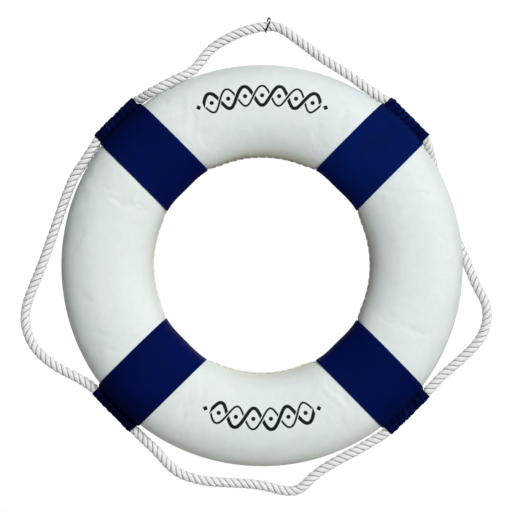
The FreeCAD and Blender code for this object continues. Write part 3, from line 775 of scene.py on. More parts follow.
def lace_angles():
    """Ring angle, in degrees, of each lacing stitch: even rows between the bands."""
    margin = math.degrees(math.asin(BAND_HALF_W / (INNER_R - 1.1))) + 2.3
    bands = sorted(BAND_ANGLES.values())
    angles = []
    for start, stop in zip(bands, bands[1:] + [bands[0] + 360]):
        low, high = start + margin, stop - margin
        count = int((high - low) / LACE_PITCH) + 1
        first = (low + high - (count - 1) * LACE_PITCH) / 2
        angles += [first + k * LACE_PITCH for k in range(count)]
    return angles


LACES = lace_angles()


def from_band_middle(angle, radius, band_angle):
    """Distance across a band from its middle; large on the far side of the ring."""
    offset = (angle - math.radians(band_angle) + math.pi) % (2 * math.pi) - math.pi
    near = np.abs(radius * np.sin(np.clip(offset, -1.2, 1.2)))
    return near + np.where(np.abs(offset) > 1.2, 500, 0)


def band_distance(angle, radius):
    """Distance along the ring from the nearest band's side edge; negative under a band."""
    distances = [from_band_middle(angle, radius, band) for band in BAND_ANGLES.values()]
    return np.min(distances, axis=0) - BAND_HALF_W


def flattened(across):
    """How far the inner side stands out from the ring's curve, where a band is drawn
    straight across it and squeezes the foam."""
    across = np.abs(across)
    under = np.minimum(across, BAND_HALF_W)
    shift = -2.8 * (under / BAND_HALF_W) ** 4 - (np.sqrt(SQUEEZED_R**2 - under**2) - SQUEEZED_R)
    return shift * (1 - ease((across - BAND_HALF_W) / 17.0))


def squeeze(angle, s):
    """Outward shift of the cover near its inner seam, beside and under the bands."""
    total = 0.0
    for band in BAND_ANGLES.values():
        across = from_band_middle(angle, SQUEEZED_R, band)
        under = 0.45 * ease((BAND_HALF_W + 1.5 - across) / 3.0)
        total = total + (flattened(across) + under) * bell(s, 30.0)
    return total


# ----------------------------------------------------------------- cloth simulation
SWELL_COLUMNS, SWELL_ROWS = 320, 38   # round the ring, and across each half section


def cloth_modifier(ob):
    cloth = ob.modifiers.new("cloth", "CLOTH")
    settings = cloth.settings
    settings.quality = 5
    settings.mass = 0.25
    settings.tension_stiffness = 40
    settings.compression_stiffness = 40
    settings.shear_stiffness = 12
    settings.bending_stiffness = 0.4
    settings.vertex_group_mass = "pin"
    settings.use_pressure = True
    settings.uniform_pressure_force = 4.0
    settings.shrink_min = -0.004
    settings.effector_weights.gravity = 0
    cloth.collision_settings.use_collision = False
    cloth.collision_settings.use_self_collision = False
    cloth.point_cache.frame_start = 1
    cloth.point_cache.frame_end = 20


def swell():
    """Blow the cover out as cloth between its seam, stitches and bands: its lift on a grid of
    ring angle by section, the front from inner to outer seam and then the back inward."""
    columns, rows = SWELL_COLUMNS, SWELL_ROWS
    front, back = SECTIONS[FRONT], SECTIONS[BACK]
    halves = (front.at(np.linspace(0, front.end, rows + 1)[:-1]),
              back.at(np.linspace(back.end, 0, rows + 1)[:-1]))
    radius, y, normal_r, normal_y = (np.concatenate(pair) for pair in zip(*halves))
    angle = full_turn(columns)[:, None]
    rest = round_axis(radius, y, angle)
    normals = round_axis(normal_r, normal_y, angle)
    faces = grid_faces(columns, 2 * rows, True)
    if volume(rest.reshape(-1, 3), [faces]) < 0:
        faces = faces[:, ::-1]
    start = (rest - 0.4 * normals).reshape(-1, 3) * MM
    mesh = bpy.data.meshes.new("cloth_tube")
    mesh.from_pydata(start.tolist(), [], faces.tolist())
    ob = add_object("cloth_tube", mesh)
    # held at the outer seam, under the bands, and where each lace goes through
    held = np.zeros((columns, 2 * rows), bool)
    held[:, rows] = True
    held |= band_distance(angle, radius[None, :]) < -2.0
    for lace in LACES:
        for j in (1, 2 * rows - 1):
            hole = lace + math.degrees(LACE_LEAN) * y[j]
            held[int(round(hole / 360 * columns)) % columns, j] = True
    pins = ob.vertex_groups.new(name="pin")
    pins.add([int(k) for k in np.where(held.ravel())[0]], 1.0, "REPLACE")
    cloth_modifier(ob)
    for frame in range(1, 21):
        scene.frame_set(frame)
    blown = np.empty(len(start) * 3, np.float32)
    evaluated = ob.evaluated_get(bpy.context.evaluated_depsgraph_get())
    evaluated.data.vertices.foreach_get("co", blown)
    moved = blown.reshape(columns, 2 * rows, 3) / MM - rest
    lift = np.einsum("ijk,ijk->ij", moved, normals)
    bpy.data.objects.remove(ob)
    bpy.data.meshes.remove(mesh)
    scene.frame_set(1)
    lift = np.nan_to_num(lift - np.median(lift[~held]))
    return 2.0 * np.tanh(lift / 2.0)


SWELL = swell()


def swell_at(side, angle, s):
    """The simulated lift at ring angles and section lengths, blended between grid points."""
    if SWELL is None:
        return 0.0
    part = s / SECTIONS[side].end * SWELL_ROWS
    column = angle / (2 * math.pi) * SWELL_COLUMNS
    row = part if side == FRONT else 2 * SWELL_ROWS - part
    i, j = np.floor(column).astype(int), np.floor(row).astype(int)
    blend_i, blend_j = ease(column - i), ease(row - j)
    i, next_i = i % SWELL_COLUMNS, (i + 1) % SWELL_COLUMNS
    j, next_j = j % (2 * SWELL_ROWS), (j + 1) % (2 * SWELL_ROWS)
    low = SWELL[i, j] * (1 - blend_i) + SWELL[next_i, j] * blend_i
    high = SWELL[i, next_j] * (1 - blend_i) + SWELL[next_i, next_j] * blend_i
    return low * (1 - blend_j) + high * blend_j


# ----------------------------------------------------------------- cover and foam
def crease(x, z, start, end, width, depth):
    """A soft ridge with a furrow on either side, from start to end in the ring's plane."""
    start = np.array(start, float)
    way = np.array(end, float) - start
    length = np.linalg.norm(way)
    way /= length
    along = (x - start[0]) * way[0] + (z - start[1]) * way[1]
    off = ((x - start[0]) * -way[1] + (z - start[1]) * way[0]) / width
    ends = ease(along / (0.3 * length)) * ease((length - along) / (0.3 * length))
    return depth * ends * (0.8 * bell(off) - 0.55 * bell(off - 1.9) - 0.55 * bell(off + 1.9))


def cover_lift(side, angle, s, radius, y):
    """How far the canvas stands off its even shape."""
    angle, s, radius, y = np.broadcast_arrays(angle, s, radius, y)
    points = round_axis(radius, y, angle)
    from_outer = SECTIONS[side].end - s
    degrees = np.degrees(angle)
    broad = broad_waves(points)
    lift = (0.22 * broad + 0.12 * medium_waves(points) + 0.05 * small_waves(points) - 0.10
            + 0.6 * swell_at(side, angle, s))
    # gathers at the laced inner edge: a sharp pull at each lace, and a soft scallop
    rng = np.random.RandomState(11 if side == FRONT else 12)
    for lace in LACES:
        pull, reach = rng.uniform(0.25, 0.8), rng.uniform(7, 26)
        lean, width = rng.uniform(-0.02, 0.02), rng.uniform(0.20, 0.30)
        off = (degrees - lace - np.degrees(LACE_LEAN) * y + 180) % 360 - 180 + lean * s
        off = off / LACE_PITCH
        near = np.abs(off) < 1.2
        lift = lift - near * (pull * bell(off, width) * np.exp(-s / reach))
        lift = lift - near * (0.24 * np.cos(math.pi * np.clip(off, -1, 1)) * bell(s, 8.0))
    lift = lift + 0.10 * bell(s, 9.0)
    # uneven puckers at the sewn outer edge, about 3.1 degrees apart
    pucker = np.sin(degrees * 2 * math.pi / 3.1 + 2.2 * np.sin(degrees * 0.21) + 1.3 * broad)
    lift = lift + 0.22 * np.exp(-from_outer / 12.0) * pucker
    # the back has the front's creases mirrored in x
    for start, end, width, depth in CREASES:
        start, end = ((-side * x, z) for x, z in (start, end))
        lift = lift + crease(points[..., 0], points[..., 2], start, end, width, depth)
    # pressed in under a band, easing out beside it, with a slight swell beyond
    beside = band_distance(angle, radius)
    free = ease((beside + 1.0) / 9.0)
    lift = lift * free - 0.38 * (1 - free) + 0.18 * bell(beside - 13.0, 7.0)
    # lies low near the outer seam, clear of the rope
    highest = 0.55 - 0.5 * ease((62.0 - from_outer) / 30.0)
    return np.clip(lift, -0.62, highest)


def cover_loop(length):
    """The panel's section as a closed loop: length from the inner seam, and depth."""
    face = np.concatenate([np.arange(1.1, 16, 1.15), np.arange(16, length - 14, 2.9),
                           np.arange(length - 14, length - 1.05, 1.6)])
    # the hem turned in at a seam: distance from the seam, and depth
    hem = [(1.1 - 1.05 * math.sin(f), 1.0 - math.cos(f)) for f in np.radians([25, 50, 72, 90])]
    hem += [(0.07, 2.2), (0.10, 3.1), (0.45, 3.35), (0.85, 3.1), (0.95, 1.9), (1.6, 1.0)]
    loop = [(s, 0.0) for s in face]
    loop += [(length - s, depth) for s, depth in hem]
    loop += [(s, 0.8) for s in np.linspace(length - 4, 4, 14)]
    loop += hem[::-1]
    return np.array(loop).T


def cover(word, side, material):
    section = SECTIONS[side]
    s, depth = cover_loop(section.end)
    radius, y, normal_r, normal_y = section.at(s)
    angle = full_turn(COVER_COLUMNS)[:, None]
    off = cover_lift(side, angle, s, radius, y) - depth
    radius = radius + normal_r * off + squeeze(angle, s)
    # the hems keep off the middle plane
    y = side * np.maximum(side * (y + normal_y * off), 0.12)
    points = round_axis(radius, y, angle)
    flat_r = MID_R + (s - section.end / 2)
    cos, sin, to_outer = np.cos(angle), np.sin(angle), section.end - s
    # stains: round the inner seam, along the outer seam and low on the ring; round the inner seam
    # the stain is also painted shade, stronger on the right and top of the hole, which face away
    # from the light
    inner = np.exp(-(s / 19.0) ** 1.7) * (1 - 0.55 * ease(-cos * 1.2) - 0.25 * ease(-sin))
    outer = 0.30 * bell(to_outer, 8.0)
    lower = 0.28 * bell(to_outer, 20.0) * ease((-sin + 0.1) / 0.9)
    age_and_shade = np.clip(inner + outer + lower + (depth > 0.05) * 0.25, 0, 1)
    open_cloth = ease((band_distance(angle, radius) + 2.0) / 4.0)
    # painted shade in the crevice at the inner seam, deepest along the top, where the inner side
    # faces down
    painted_crevice_shade = (0.50 * bell(s, 11.0) + 0.30 * bell(s, 5.0)) * open_cloth
    painted_crevice_shade = painted_crevice_shade * (0.28 + 0.72 * ease(sin * 1.4) - 0.16 * ease(-cos))
    # painted shade along the outer edge, stronger on the left, which turns away from the light
    grime_and_painted_shade = 0.60 * bell(to_outer, 24.0) * (0.60 - 0.40 * cos) * open_cloth
    cloth = round_axis(flat_r, 0.0, angle)[..., [0, 2, 1]]
    part = ring_part(points, {"cloth": cloth, "place": points, "age_and_shade": age_and_shade,
                              "painted_crevice_shade": np.clip(painted_crevice_shade, 0, 1), "grime_and_painted_shade": grime_and_painted_shade})
    ob = build("cover_" + word, [part], material)
    stand_in(ob, f"cover_{word}_panel")


def foam(word, side):
    """A half ring of foam just under the cover, closed by a flat face at the middle plane."""
    section = SECTIONS[side]
    s = np.linspace(0.6, section.end - 0.6, 60)
    depth = 1.8 + 3.2 * (bell(s, 2.6) + bell(section.end - s, 2.6))
    radius, y, normal_r, normal_y = section.at(s)
    radius, y = radius - normal_r * depth, y - normal_y * depth
    radius = np.concatenate([radius, np.linspace(radius[-1], radius[0], 8)[1:-1]])
    y = side * np.maximum(side * np.concatenate([y, np.full(6, side * 0.05)]), 0.05)
    s = np.concatenate([s, np.linspace(s[-1], s[0], 8)[1:-1]])
    angle = full_turn(240)[:, None]
    points = round_axis(radius + squeeze(angle, s), y, angle)
    ob = build("foam_" + word, [ring_part(points, {"place": points})], foam_white)
    stand_in(ob, "foam_core_" + word)


cover("front", FRONT, canvas_front)
cover("back", BACK, canvas_back)
foam("front", FRONT)
foam("back", BACK)


# ----------------------------------------------------------------- lacing and seam thread
def lacing():
    rng = np.random.RandomState(21)
    parts = []
    for lace in LACES:
        jitter, reach = rng.uniform(-0.15, 0.15), rng.uniform(3.7, 4.3)
        slant = rng.uniform(0.92, 1.08)
        points = []
        for f in np.linspace(-1, 1, 15):
            across = f * reach
            section = SECTIONS[FRONT if across <= 0 else BACK]
            radius, y, normal_r, normal_y = section.at(abs(across))
            # rises off the canvas between its two holes and dives into them
            rise = LACE_R * 0.50 - 2.0 * abs(f) ** 8
            angle = math.radians(lace + jitter) + LACE_LEAN * across * slant
            radius = radius + normal_r * rise + squeeze(angle, abs(across))
            points.append(round_axis(radius, y + normal_y * rise, angle))
        parts += ply_cord(points, LACE_R, pitch=7.5, plies=3, around=8, step=0.75)
    stand_in(build("inner_lacing_cord", parts, lace_cord), "inner_lacing")


def seam_stitching():
    """Short stitches along the outer seam, left out under the bands."""
    # ring angle from the stitch's middle, rise, y
    stitch = [(-0.0046, -0.5, -0.12), (-0.003, 0.0, -0.05), (0, 0.12, 0.0),
              (0.003, 0.0, 0.05), (0.0046, -0.5, 0.12)]
    parts = []
    for k in range(SEAM_STITCHES):
        middle = 2 * math.pi * k / SEAM_STITCHES
        if band_distance(middle, OUTER_R) < -2:
            continue
        points = [round_axis(OUTER_R - 0.85 + rise, y, middle + turn)
                  for turn, rise, y in stitch]
        parts += ply_cord(points, 0.42, pitch=2.0, plies=1, around=6, step=0.7)
    stand_in(build("outer_seam_stitching", parts, seam_cord), "outer_seam_thread")


lacing()
seam_stitching()


# ----------------------------------------------------------------- bands and sleeves
def band_contour():
    """Half the band's outer line, from the sleeve's outermost point to the innermost point of
    the wrap: radius, y, how much it follows the ring's curve, and how much it is sleeve."""
    line = []
    for turn in np.radians([0, 14, 28, 42, 56, 70, 84, 98, 110, 121]):
        line.append((SLEEVE_R + SLEEVE_TUBE_R * math.cos(turn),
                     SLEEVE_TUBE_R * math.sin(turn), 0.0, 1.0))
    # the groove between sleeve and wrap
    line += [(252.75, 5.75, 0.2, 0.8), (251.75, 6.25, 0.6, 0.45), (250.98, 7.35, 0.9, 0.15)]
    section = Section(FRONT, BAND_RISE)
    radius, y, length = section.radius, -section.y, section.length
    wrap_end = np.where((y > 8.8) | (radius < MID_R))[0][-1]
    for s in np.arange(length[wrap_end], 0.0, -3.0):
        line.append((np.interp(s, length, radius), np.interp(s, length, y), 1.0, 0.0))
    line.append((INNER_R - BAND_RISE, 0.0, 1.0, 0.0))
    return np.array(line)


def smooth_contour(line, step):
    """Centripetal Catmull-Rom through the half contour, resampled finer near the sleeve:
    points and their lengths."""
    mirror = [1, -1, 1, 1]
    line = np.vstack([line[1] * mirror, line, line[-2] * mirror])

    def blend(first, second, start, stop, t):
        return (stop - t) / (stop - start) * first + (t - start) / (stop - start) * second

    dense = []
    for i in range(1, len(line) - 2):
        p0, p1, p2, p3 = line[i - 1:i + 3]
        knots = [0.0]
        for first, second in ((p0, p1), (p1, p2), (p2, p3)):
            knots.append(knots[-1] + max(1e-6, np.linalg.norm(second[:2] - first[:2])) ** 0.5)
        t0, t1, t2, t3 = knots
        for t in np.linspace(t1, t2, 24, endpoint=False):
            a1, a2, a3 = blend(p0, p1, t0, t1, t), blend(p1, p2, t1, t2, t), blend(p2, p3, t2, t3, t)
            b1, b2 = blend(a1, a2, t0, t2, t), blend(a2, a3, t1, t3, t)
            dense.append(blend(b1, b2, t1, t2, t))
    dense.append(line[-2])
    dense = np.array(dense)
    length = run_length(dense[:, :2])
    wanted, s = [], 0.0
    while s < length[-1]:
        wanted.append(s)
        s += step * (0.5 if s < 24 else (0.75 if s < 50 else 1.25))
    wanted = np.append(wanted, length[-1])
    return interp_columns(wanted, length, dense), wanted


HALF_LINE, HALF_LENGTH = smooth_contour(band_contour(), 2.0)
GROOVE_AT = float(HALF_LENGTH[np.argmin(np.hypot(HALF_LINE[:, 0] - 251.7,
                                                 HALF_LINE[:, 1] - 6.4))])

# The closed contour: the front half inward from the sleeve, then the back half out again.
# Arrays with one value per contour point are columns.
back_half = HALF_LINE[-2:0:-1].copy()
back_half[:, 1] = np.minimum(back_half[:, 1], BACK_FLAT + BAND_RISE)
contour = np.vstack([HALF_LINE * [1, -1, 1, 1], back_half])
LINE_R, LINE_Y, WRAP, SLEEVED = (contour[:, k:k + 1] for k in range(4))
ALONG = np.concatenate([HALF_LENGTH, HALF_LENGTH[-2:0:-1]])[:, None]
ON_BACK = (np.arange(len(contour)) >= len(HALF_LINE))[:, None]
SIDE_SIGN = np.where(ON_BACK, -1, 1)
FROM_GROOVE = ALONG - GROOVE_AT


def contour_normals():
    way = np.roll(contour[:, :2], -1, 0) - np.roll(contour[:, :2], 1, 0)
    way /= np.linalg.norm(way, axis=1)[:, None]
    normals = np.stack([way[:, 1], -way[:, 0]], 1)
    from_middle = contour[:, :2] - contour[:, :2].mean(0)
    return -normals if (from_middle * normals).sum() < 0 else normals


NORMALS = contour_normals()
FACE_ROWS = 58


def band_rows():
    """Rows across the band: share of the half width, width added by the rim, and share of
    the thickness. The outer face comes first, then a rim, the inner face and the other rim."""
    face = np.linspace(-1, 1, FACE_ROWS)
    face = np.sign(face) * np.abs(face) ** 0.93
    rim = [(0.45 * math.sin(f), (1 - math.cos(f)) / 2) for f in np.radians([30, 60, 90, 120, 150])]
    rows = [(share, 0.0, 0.0) for share in face]
    rows += [(1.0, out, depth) for out, depth in rim]
    rows += [(share, 0.0, 1.0) for share in np.linspace(1, -1, 18)]
    rows += [(-1.0, -out, depth) for out, depth in reversed(rim)]
    return np.array(rows).T


row_share, rim_width, THICKNESS_SHARE = band_rows()
half_width = SLEEVE_HALF_W + (BAND_HALF_W - SLEEVE_HALF_W) * ease((WRAP - 0.35) / 0.6)
ACROSS = row_share * half_width + rim_width
FROM_EDGE = half_width - np.abs(ACROSS)


def band_folds(name, rng):
    """The band's lift off its contour, its fold shading and its gathers, 0 to 1."""
    def wave(length):
        return np.sin(ACROSS / length + rng.uniform(0, 6))

    # gathers across the band, about 9 mm apart, slanting on the sleeve
    phase = rng.uniform(-0.6, 0.6)
    wander = 1.6 * wave(21.0) + 0.9 * wave(11.0)
    skew = np.where(FROM_GROOVE < 0, -0.42 * FROM_GROOVE * SIDE_SIGN, 0)
    ripple = 0.5 + 0.5 * np.cos(2 * math.pi * ((ACROSS + wander + skew) / 9.0 + phase / 6))
    strength = 0.75 + 0.35 * wave(7.3) * wave(15.0)
    ends = 0.25 + 0.75 * ease(FROM_EDGE / 5.0)
    sleeve = SLEEVED * (-0.15 + 1.35 * ripple * strength * ends)
    # long slack folds lying along the sleeve, a little askew
    slack = (ALONG * SIDE_SIGN + ACROSS * 0.22 * rng.choice([-1, 1]) + 1.2 * wave(8.0)) / 4.6
    slack = np.cos(2 * math.pi * (slack + rng.uniform(0, 1))) * (0.65 + 0.35 * wave(9.0))
    sleeve = sleeve + SLEEVED * ease((ALONG + 1.5) / 4.0) * 0.55 * slack
    # gathers running out on to the wrap, and pinched in the groove
    past_groove = np.clip(FROM_GROOVE, 0, 400)
    run_out = np.exp(-past_groove / (9.0 + 5.0 * wave(8.0))) * (1 - SLEEVED)
    run_out = run_out * 0.85 * (ripple - 0.35) * (FROM_GROOVE > 0)
    pinch = bell(FROM_GROOVE, 1.7) * 0.55 * (ripple - 0.75)
    base = band_point(name, LINE_R, LINE_Y, ACROSS)
    soft = 0.16 * medium_waves(base) + 0.06 * small_waves(base)
    soft = soft * WRAP * ease(FROM_GROOVE / 10.0)
    # diagonal drag lines from the sleeve across the face
    drag = 0.0
    for _ in range(5):
        start_across, start = rng.uniform(-28, 28), GROOVE_AT + rng.uniform(3, 10)
        slope, reach, width = rng.uniform(-0.5, 0.5), rng.uniform(14, 34), rng.uniform(1.6, 2.6)
        past = ALONG - start
        on_side = ON_BACK == (rng.uniform() < 0.5)
        drag = drag + (on_side * 0.30 * bell(ACROSS - start_across - slope * past, width)
                       * ease((past + 3) / 6) * np.exp(-np.clip(past, 0, 400) / reach))
    # the side edges pull down on to the cover, inside them a slightly raised hem
    tuck = -0.35 * np.exp(-np.clip(FROM_EDGE, 0, 50) / 1.6) * WRAP
    hem = 0.10 * ease((6.2 - FROM_EDGE) / 0.9) * ease(FROM_EDGE / 1.5) * WRAP
    # fold, 0 to 1, sets painted shade and highlight: low in the sleeve's hollows and its groove,
    # high on gather crests
    fold = (0.64 + SLEEVED * (np.clip(sleeve / 1.5, -0.4, 1.0) - 0.42) * 1.1
            + 0.55 * run_out - 0.55 * bell(FROM_GROOVE, 1.9))
    lift = sleeve + run_out + pinch + soft + drag * WRAP + tuck + hem
    lift = np.where(WRAP > 0.95, np.clip(lift, -0.42, 1.4), lift)
    lift = np.where(SLEEVED > 0.5, np.clip(lift, -0.38, 1.7), lift)
    return lift, np.clip(fold, 0, 1), ripple


def band(name, seed):
    """One band with its sleeve; hands back its grid of points."""
    lift, fold, ripple = band_folds(name, np.random.RandomState(seed))
    lift = lift - BAND_THICK * THICKNESS_SHARE
    radius, y = LINE_R + NORMALS[:, :1] * lift, LINE_Y + NORMALS[:, 1:] * lift
    # the wrap follows the ring's curve
    curve = np.sqrt(np.maximum(radius * radius - ACROSS * ACROSS, 1.0)) - radius
    from_inner = np.maximum(HALF_LENGTH[-1] - ALONG, 0)
    radius = radius + (curve + flattened(ACROSS) * bell(from_inner, 30.0)) * WRAP
    points = band_point(name, radius, y, ACROSS)
    along = np.broadcast_to(ALONG, ACROSS.shape)
    # painted shade on the band's outer part, round the groove by the sleeve
    shade = BAND_PAINTED_SHADE[name] * np.exp(-(np.abs(along - GROOVE_AT) / 42.0) ** 1.6)
    rub = np.exp(-np.clip(FROM_EDGE, 0, 50) / 1.2) + SLEEVED * 0.35 * ripple
    cloth = np.stack([ACROSS, along, np.zeros_like(ACROSS)], -1)
    part = ring_part(points, {"cloth": cloth, "place": points, "edge": np.clip(rub, 0, 1),
                              "fold": fold, "shade": shade})
    ob = build(f"band_{name}_cloth", [part], navy_cloth)
    stand_in(ob, "band_" + name)
    return points


def sleeve_thread(name, grid):
    """Seven stitches in the groove, front and back, with their ends pulled into the cloth."""
    parts = []
    for on_back in (False, True):
        at = np.argmin(np.where(ON_BACK == on_back, np.abs(FROM_GROOVE), 1e9))
        face, across = grid[at, :FACE_ROWS], ACROSS[at, :FACE_ROWS]
        normal = band_point(name, NORMALS[at, 0], NORMALS[at, 1], 0.0)
        for k in range(7):
            points = [interp_columns((k - 3) * 9.0 + 2.8 * f, across, face)
                      + normal * (0.50 - 1.1 * abs(f) ** 5) for f in np.linspace(-1, 1, 9)]
            parts += ply_cord(points, 0.42, pitch=2.4, plies=2, around=7, step=0.6)
    ob = build("sleeve_thread_" + name, parts, navy_thread)
    stand_in(ob, "sleeve_stitches_" + name)


for seed, name in enumerate(BAND_ANGLES, start=40):
    sleeve_thread(name, band(name, seed))


# ----------------------------------------------------------------- rope
def sleeve_point(band_name, side):
    """A sleeve's centre at side 0; its clockwise mouth at -1 and the other at +1."""
    return band_point(band_name, SLEEVE_R, 0.0, side * SLEEVE_HALF_W)


def rope_line():
    """The whole rope's centre line, from the lower left sleeve clockwise, and its lengths."""
    line = []
    for name, points, first, last, *_ in ROPE_LOOPS:
        centre, mouth = sleeve_point(first, 0), sleeve_point(first, -1)
        begin = 0.0 if name == "left" else 0.03
        line += [centre + (mouth - centre) * f for f in (begin, 0.4, 0.75)]
        line += [mouth, *points]
        centre, mouth = sleeve_point(last, 0), sleeve_point(last, 1)
        stop = 1.0 if name == "bottom" else 0.97
        line += [mouth] + [mouth + (centre - mouth) * f for f in (0.25, 0.6, stop)]
    line, length = even(line, 1.2)
    # even out the small kinks of the measured points
    for _ in range(6):
        line[1:-1] = 0.25 * line[:-2] + 0.5 * line[1:-1] + 0.25 * line[2:]
    # beside the upper sleeves the rope lies in against the cover
    for name in ("upper_left", "upper_right"):
        for end in (1, -1):
            away = np.linalg.norm(line - sleeve_point(name, end), axis=1)
            outside = np.linalg.norm(line - sleeve_point(name, 0), axis=1) > SLEEVE_HALF_W
            weight = ease(away / 7.0) * (1 - ease((away - 15.0) / 13.0)) * outside
            for i in np.where(weight > 0)[0]:
                x, y, z = line[i]
                radius = math.hypot(x, z)
                section = SECTIONS[FRONT if y <= 0 else BACK]
                gap = np.min(np.hypot(section.radius - radius, section.y - y))
                gap -= ROPE_R * ROPE_FULL
                inward = np.array([x / radius, 0.0, z / radius])
                line[i] -= 0.85 * weight[i] * max(0.0, gap - 0.55) * inward
    return line, length


def strand_section():
    """One strand across the rope, as (outward, sideways) points, and how exposed each is."""
    points, crest = [], []
    for t in np.linspace(-1, 1, 12):
        radius = ROPE_R * (1 - 0.075 * t * t - 0.105 * t ** 4 - 0.10 * abs(t) ** 8)
        points.append((radius, 57.5 * t))
        crest.append(max(0.0, 1 - abs(t) ** 3.2))
    # down one flank, round the heart, and up the other: radius, degrees
    flank = [(3.9, 59.0), (2.3, 58.0), (0.9, 50.0)]
    points += flank + [(radius, -turn) for radius, turn in reversed(flank)]
    crest += [0.0] * (2 * len(flank))
    radius, turn = np.array(points).T
    turn = np.radians(turn)
    return np.stack([radius * np.cos(turn), radius * np.sin(turn)], 1), np.array(crest)


def rope():
    line, length = rope_line()
    sides, others = frames(line)
    inside = np.zeros(len(line))
    for name in BAND_ANGLES:
        away = np.linalg.norm(line - sleeve_point(name, 0), axis=1)
        inside = np.maximum(inside, ease((SLEEVE_HALF_W + 3.6 - away) / 4.1))
    scale = ROPE_FULL - inside * (ROPE_FULL - ROPE_SLEEVED)
    scale = scale * np.where(inside > 0.5, 1.0, 1.0 + 0.02 * Waves(31, 60.0)(line))
    outline, crest = strand_section()
    around = np.arctan2(outline[:, 1], outline[:, 0] - 3.0)
    # the rope is cut into loops at the sleeves' centres
    cuts = [int(np.argmin(np.linalg.norm(line - sleeve_point(loop[2], 0), axis=1)))
            for loop in ROPE_LOOPS[1:]]
    cuts = [0, *cuts, len(line) - 1]
    for k, (name, points, first, _, outward, pivot, reach) in enumerate(ROPE_LOOPS):
        run = slice(cuts[k], cuts[k + 1] + 1)
        parts = []
        for j in range(3):
            phase = (2 * math.pi * (length[run] / ROPE_LAY + j / 3))[:, None]
            out = np.cos(phase) * sides[run] + np.sin(phase) * others[run]
            sideways = -np.sin(phase) * sides[run] + np.cos(phase) * others[run]
            offset = scale[run][:, None, None] * (outline[None, :, 0:1] * out[:, None, :]
                                                  + outline[None, :, 1:2] * sideways[:, None, :])
            rings = line[run][:, None, :] + offset
            # grime in the grooves on the side that hangs lowest
            low = ease((-offset[:, :, 2] / ROPE_R + 0.15) / 0.8)
            parts.append(tube_part(rings, {
                "strand": strand_values(around, length[run] * 1.2 + 37 * j), "place": rings,
                "crest": np.broadcast_to(crest, rings.shape[:2]),
                "dirt": low * (0.95 if name == "top" else 0.35)}))
        ob = build(f"rope_{name}_laid", parts, rope_white)
        pivot_start, pivot_end = Vector(points[pivot]), Vector(points[-1])
        chord = (pivot_end - pivot_start).normalized()
        outward = Vector(outward)
        outward = (outward - chord * outward.dot(chord)).normalized()
        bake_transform(ob)
        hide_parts("rope_loop_" + name)
        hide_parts("rope_run_" + first)


def rope_end_binding():
    """Twine binding the rope's two ends inside the lower left sleeve."""
    coils, half_length, coil_r = 28, 12.6, 5.12
    along = band_point("lower_left", 0.0, 0.0, -1.0)
    first = np.array([0.0, 1.0, 0.0])
    second = np.cross(along, first)
    turn = np.linspace(0, coils * 2 * math.pi, coils * 14)[:, None]
    line = (sleeve_point("lower_left", 0)
            + along * (-half_length + 2 * half_length * turn / turn[-1])
            + coil_r * (np.cos(turn) * first + np.sin(turn) * second))
    around = full_turn(6)
    rings = sweep(line, *frames(line, along), around, 0.30)
    values = {"strand": strand_values(around, turn[:, 0] * 5.5), "place": rings}
    ob = build("rope_end_binding", [tube_part(rings, values)], twine)
    stand_in(ob, "rope_end_whipping")


def wire_hanger():
    line, length = even(HANGER_PATH, 0.35)
    to_end = np.minimum(length, length[-1] - length)
    dome = np.sqrt(np.clip(1 - (1 - to_end / HANGER_R) ** 2, 0.02, 1))
    radius = HANGER_R * np.minimum(1, dome + (to_end > HANGER_R))
    rings = sweep(line, *frames(line, (1, 0, 0)), full_turn(20), radius[:, None, None])
    ob = build("wire_hanger", [tube_part(rings, {"place": rings})], wire_dark)
    stand_in(ob, "hanging_hook", "hanger")


rope()
rope_end_binding()
wire_hanger()


# ----------------------------------------------------------------- floor, light, camera (m)
def floor_material():
    """Pale and glowing to the camera, dim to all other rays."""
    tone = 0.62
    shader = new_shader("floor_pale")
    mottle = shader.node("TexNoise", {"Scale": 3.0}, "Fac")
    colour = shader.node("MapRange", {0: mottle, 3: tone * 0.985, 4: tone})
    pale = shader.node("BsdfDiffuse", {"Color": colour})
    glow = shader.node("Emission", {"Color": (1, 1, 1, 1), "Strength": 0.55})
    dim = shader.node("BsdfDiffuse", {"Color": (0.30, 0.30, 0.30, 1)})
    seen = shader.node("LightPath", output="Is Camera Ray")
    both = shader.node("AddShader", {0: pale, 1: glow})
    return shader.finish(shader.node("MixShader", {0: seen, 1: dim, 2: both}))


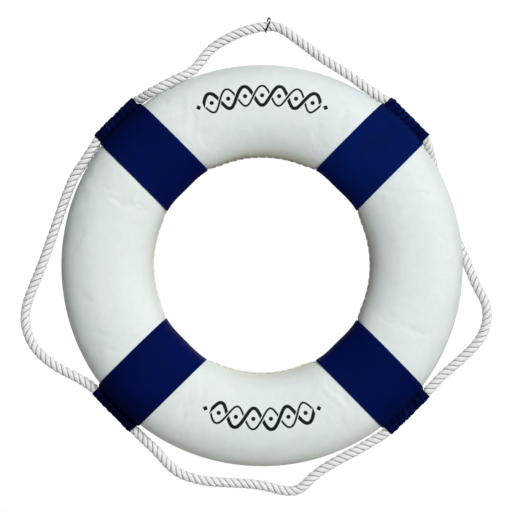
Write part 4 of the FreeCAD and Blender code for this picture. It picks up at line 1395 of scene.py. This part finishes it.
def floor():
    half, height = 15, -0.50
    mesh = bpy.data.meshes.new("floor")
    corners = [(-half, -half), (half, -half), (half, half), (-half, half)]
    mesh.from_pydata([(x, y, height) for x, y in corners], [], [(0, 1, 2, 3)])
    mesh.materials.append(floor_material())
    ob = add_object("floor", mesh)
    ob.visible_shadow = False


def studio_world():
    """White to the camera, a weak cool light to everything else."""
    world = bpy.data.worlds.new("studio")
    scene.world = world
    shader = Shader(world, "OutputWorld")
    seen = shader.node("LightPath", output="Is Camera Ray")
    white = shader.node("Background", {"Color": (1, 1, 1, 1), "Strength": 1.05})
    cool = shader.node("Background", {"Color": (0.94, 0.97, 1.0, 1), "Strength": 0.18})
    shader.finish(shader.node("MixShader", {0: seen, 1: cool, 2: white}))


def sun(name, to_light, strength, spread, colour):
    """A sun seen in the direction to_light; spread is its width in degrees."""
    light = bpy.data.lights.new(name, "SUN")
    light.energy, light.angle, light.color = strength, math.radians(spread), colour
    ob = add_object(name, light)
    ob.rotation_euler = Vector(to_light).to_track_quat("Z", "Y").to_euler()


def camera():
    distance, elevation, view_width = 2.2, math.radians(-2.0), 0.639
    data = bpy.data.cameras.new("camera")
    ob = add_object("camera", data)
    scene.camera = ob
    data.sensor_width = 36.0
    data.lens = 36.0 * distance / view_width
    data.clip_end = 60
    aim = Vector((-7.5, 0.0, 11.2)) * MM
    backward = Vector((0, -math.cos(elevation), math.sin(elevation)))
    ob.location = aim + backward * distance
    ob.rotation_euler = backward.to_track_quat("Z", "Y").to_euler()


floor()
studio_world()
sun("key", to_light=(0.62, -1.00, 0.50), strength=2.42, spread=28, colour=(1.0, 0.99, 0.965))
sun("fill", to_light=(0.00, -1.00, 0.00), strength=0.66, spread=60, colour=(0.95, 0.98, 1.0))
sun("lift", to_light=(0.20, -0.68, -0.92), strength=0.66, spread=50, colour=(1.0, 0.97, 0.88))
sun("back", to_light=(0.2, 0.95, 0.45), strength=1.9, spread=60, colour=(1.0, 0.99, 0.97))
camera()
scene.view_settings.view_transform = "Standard"
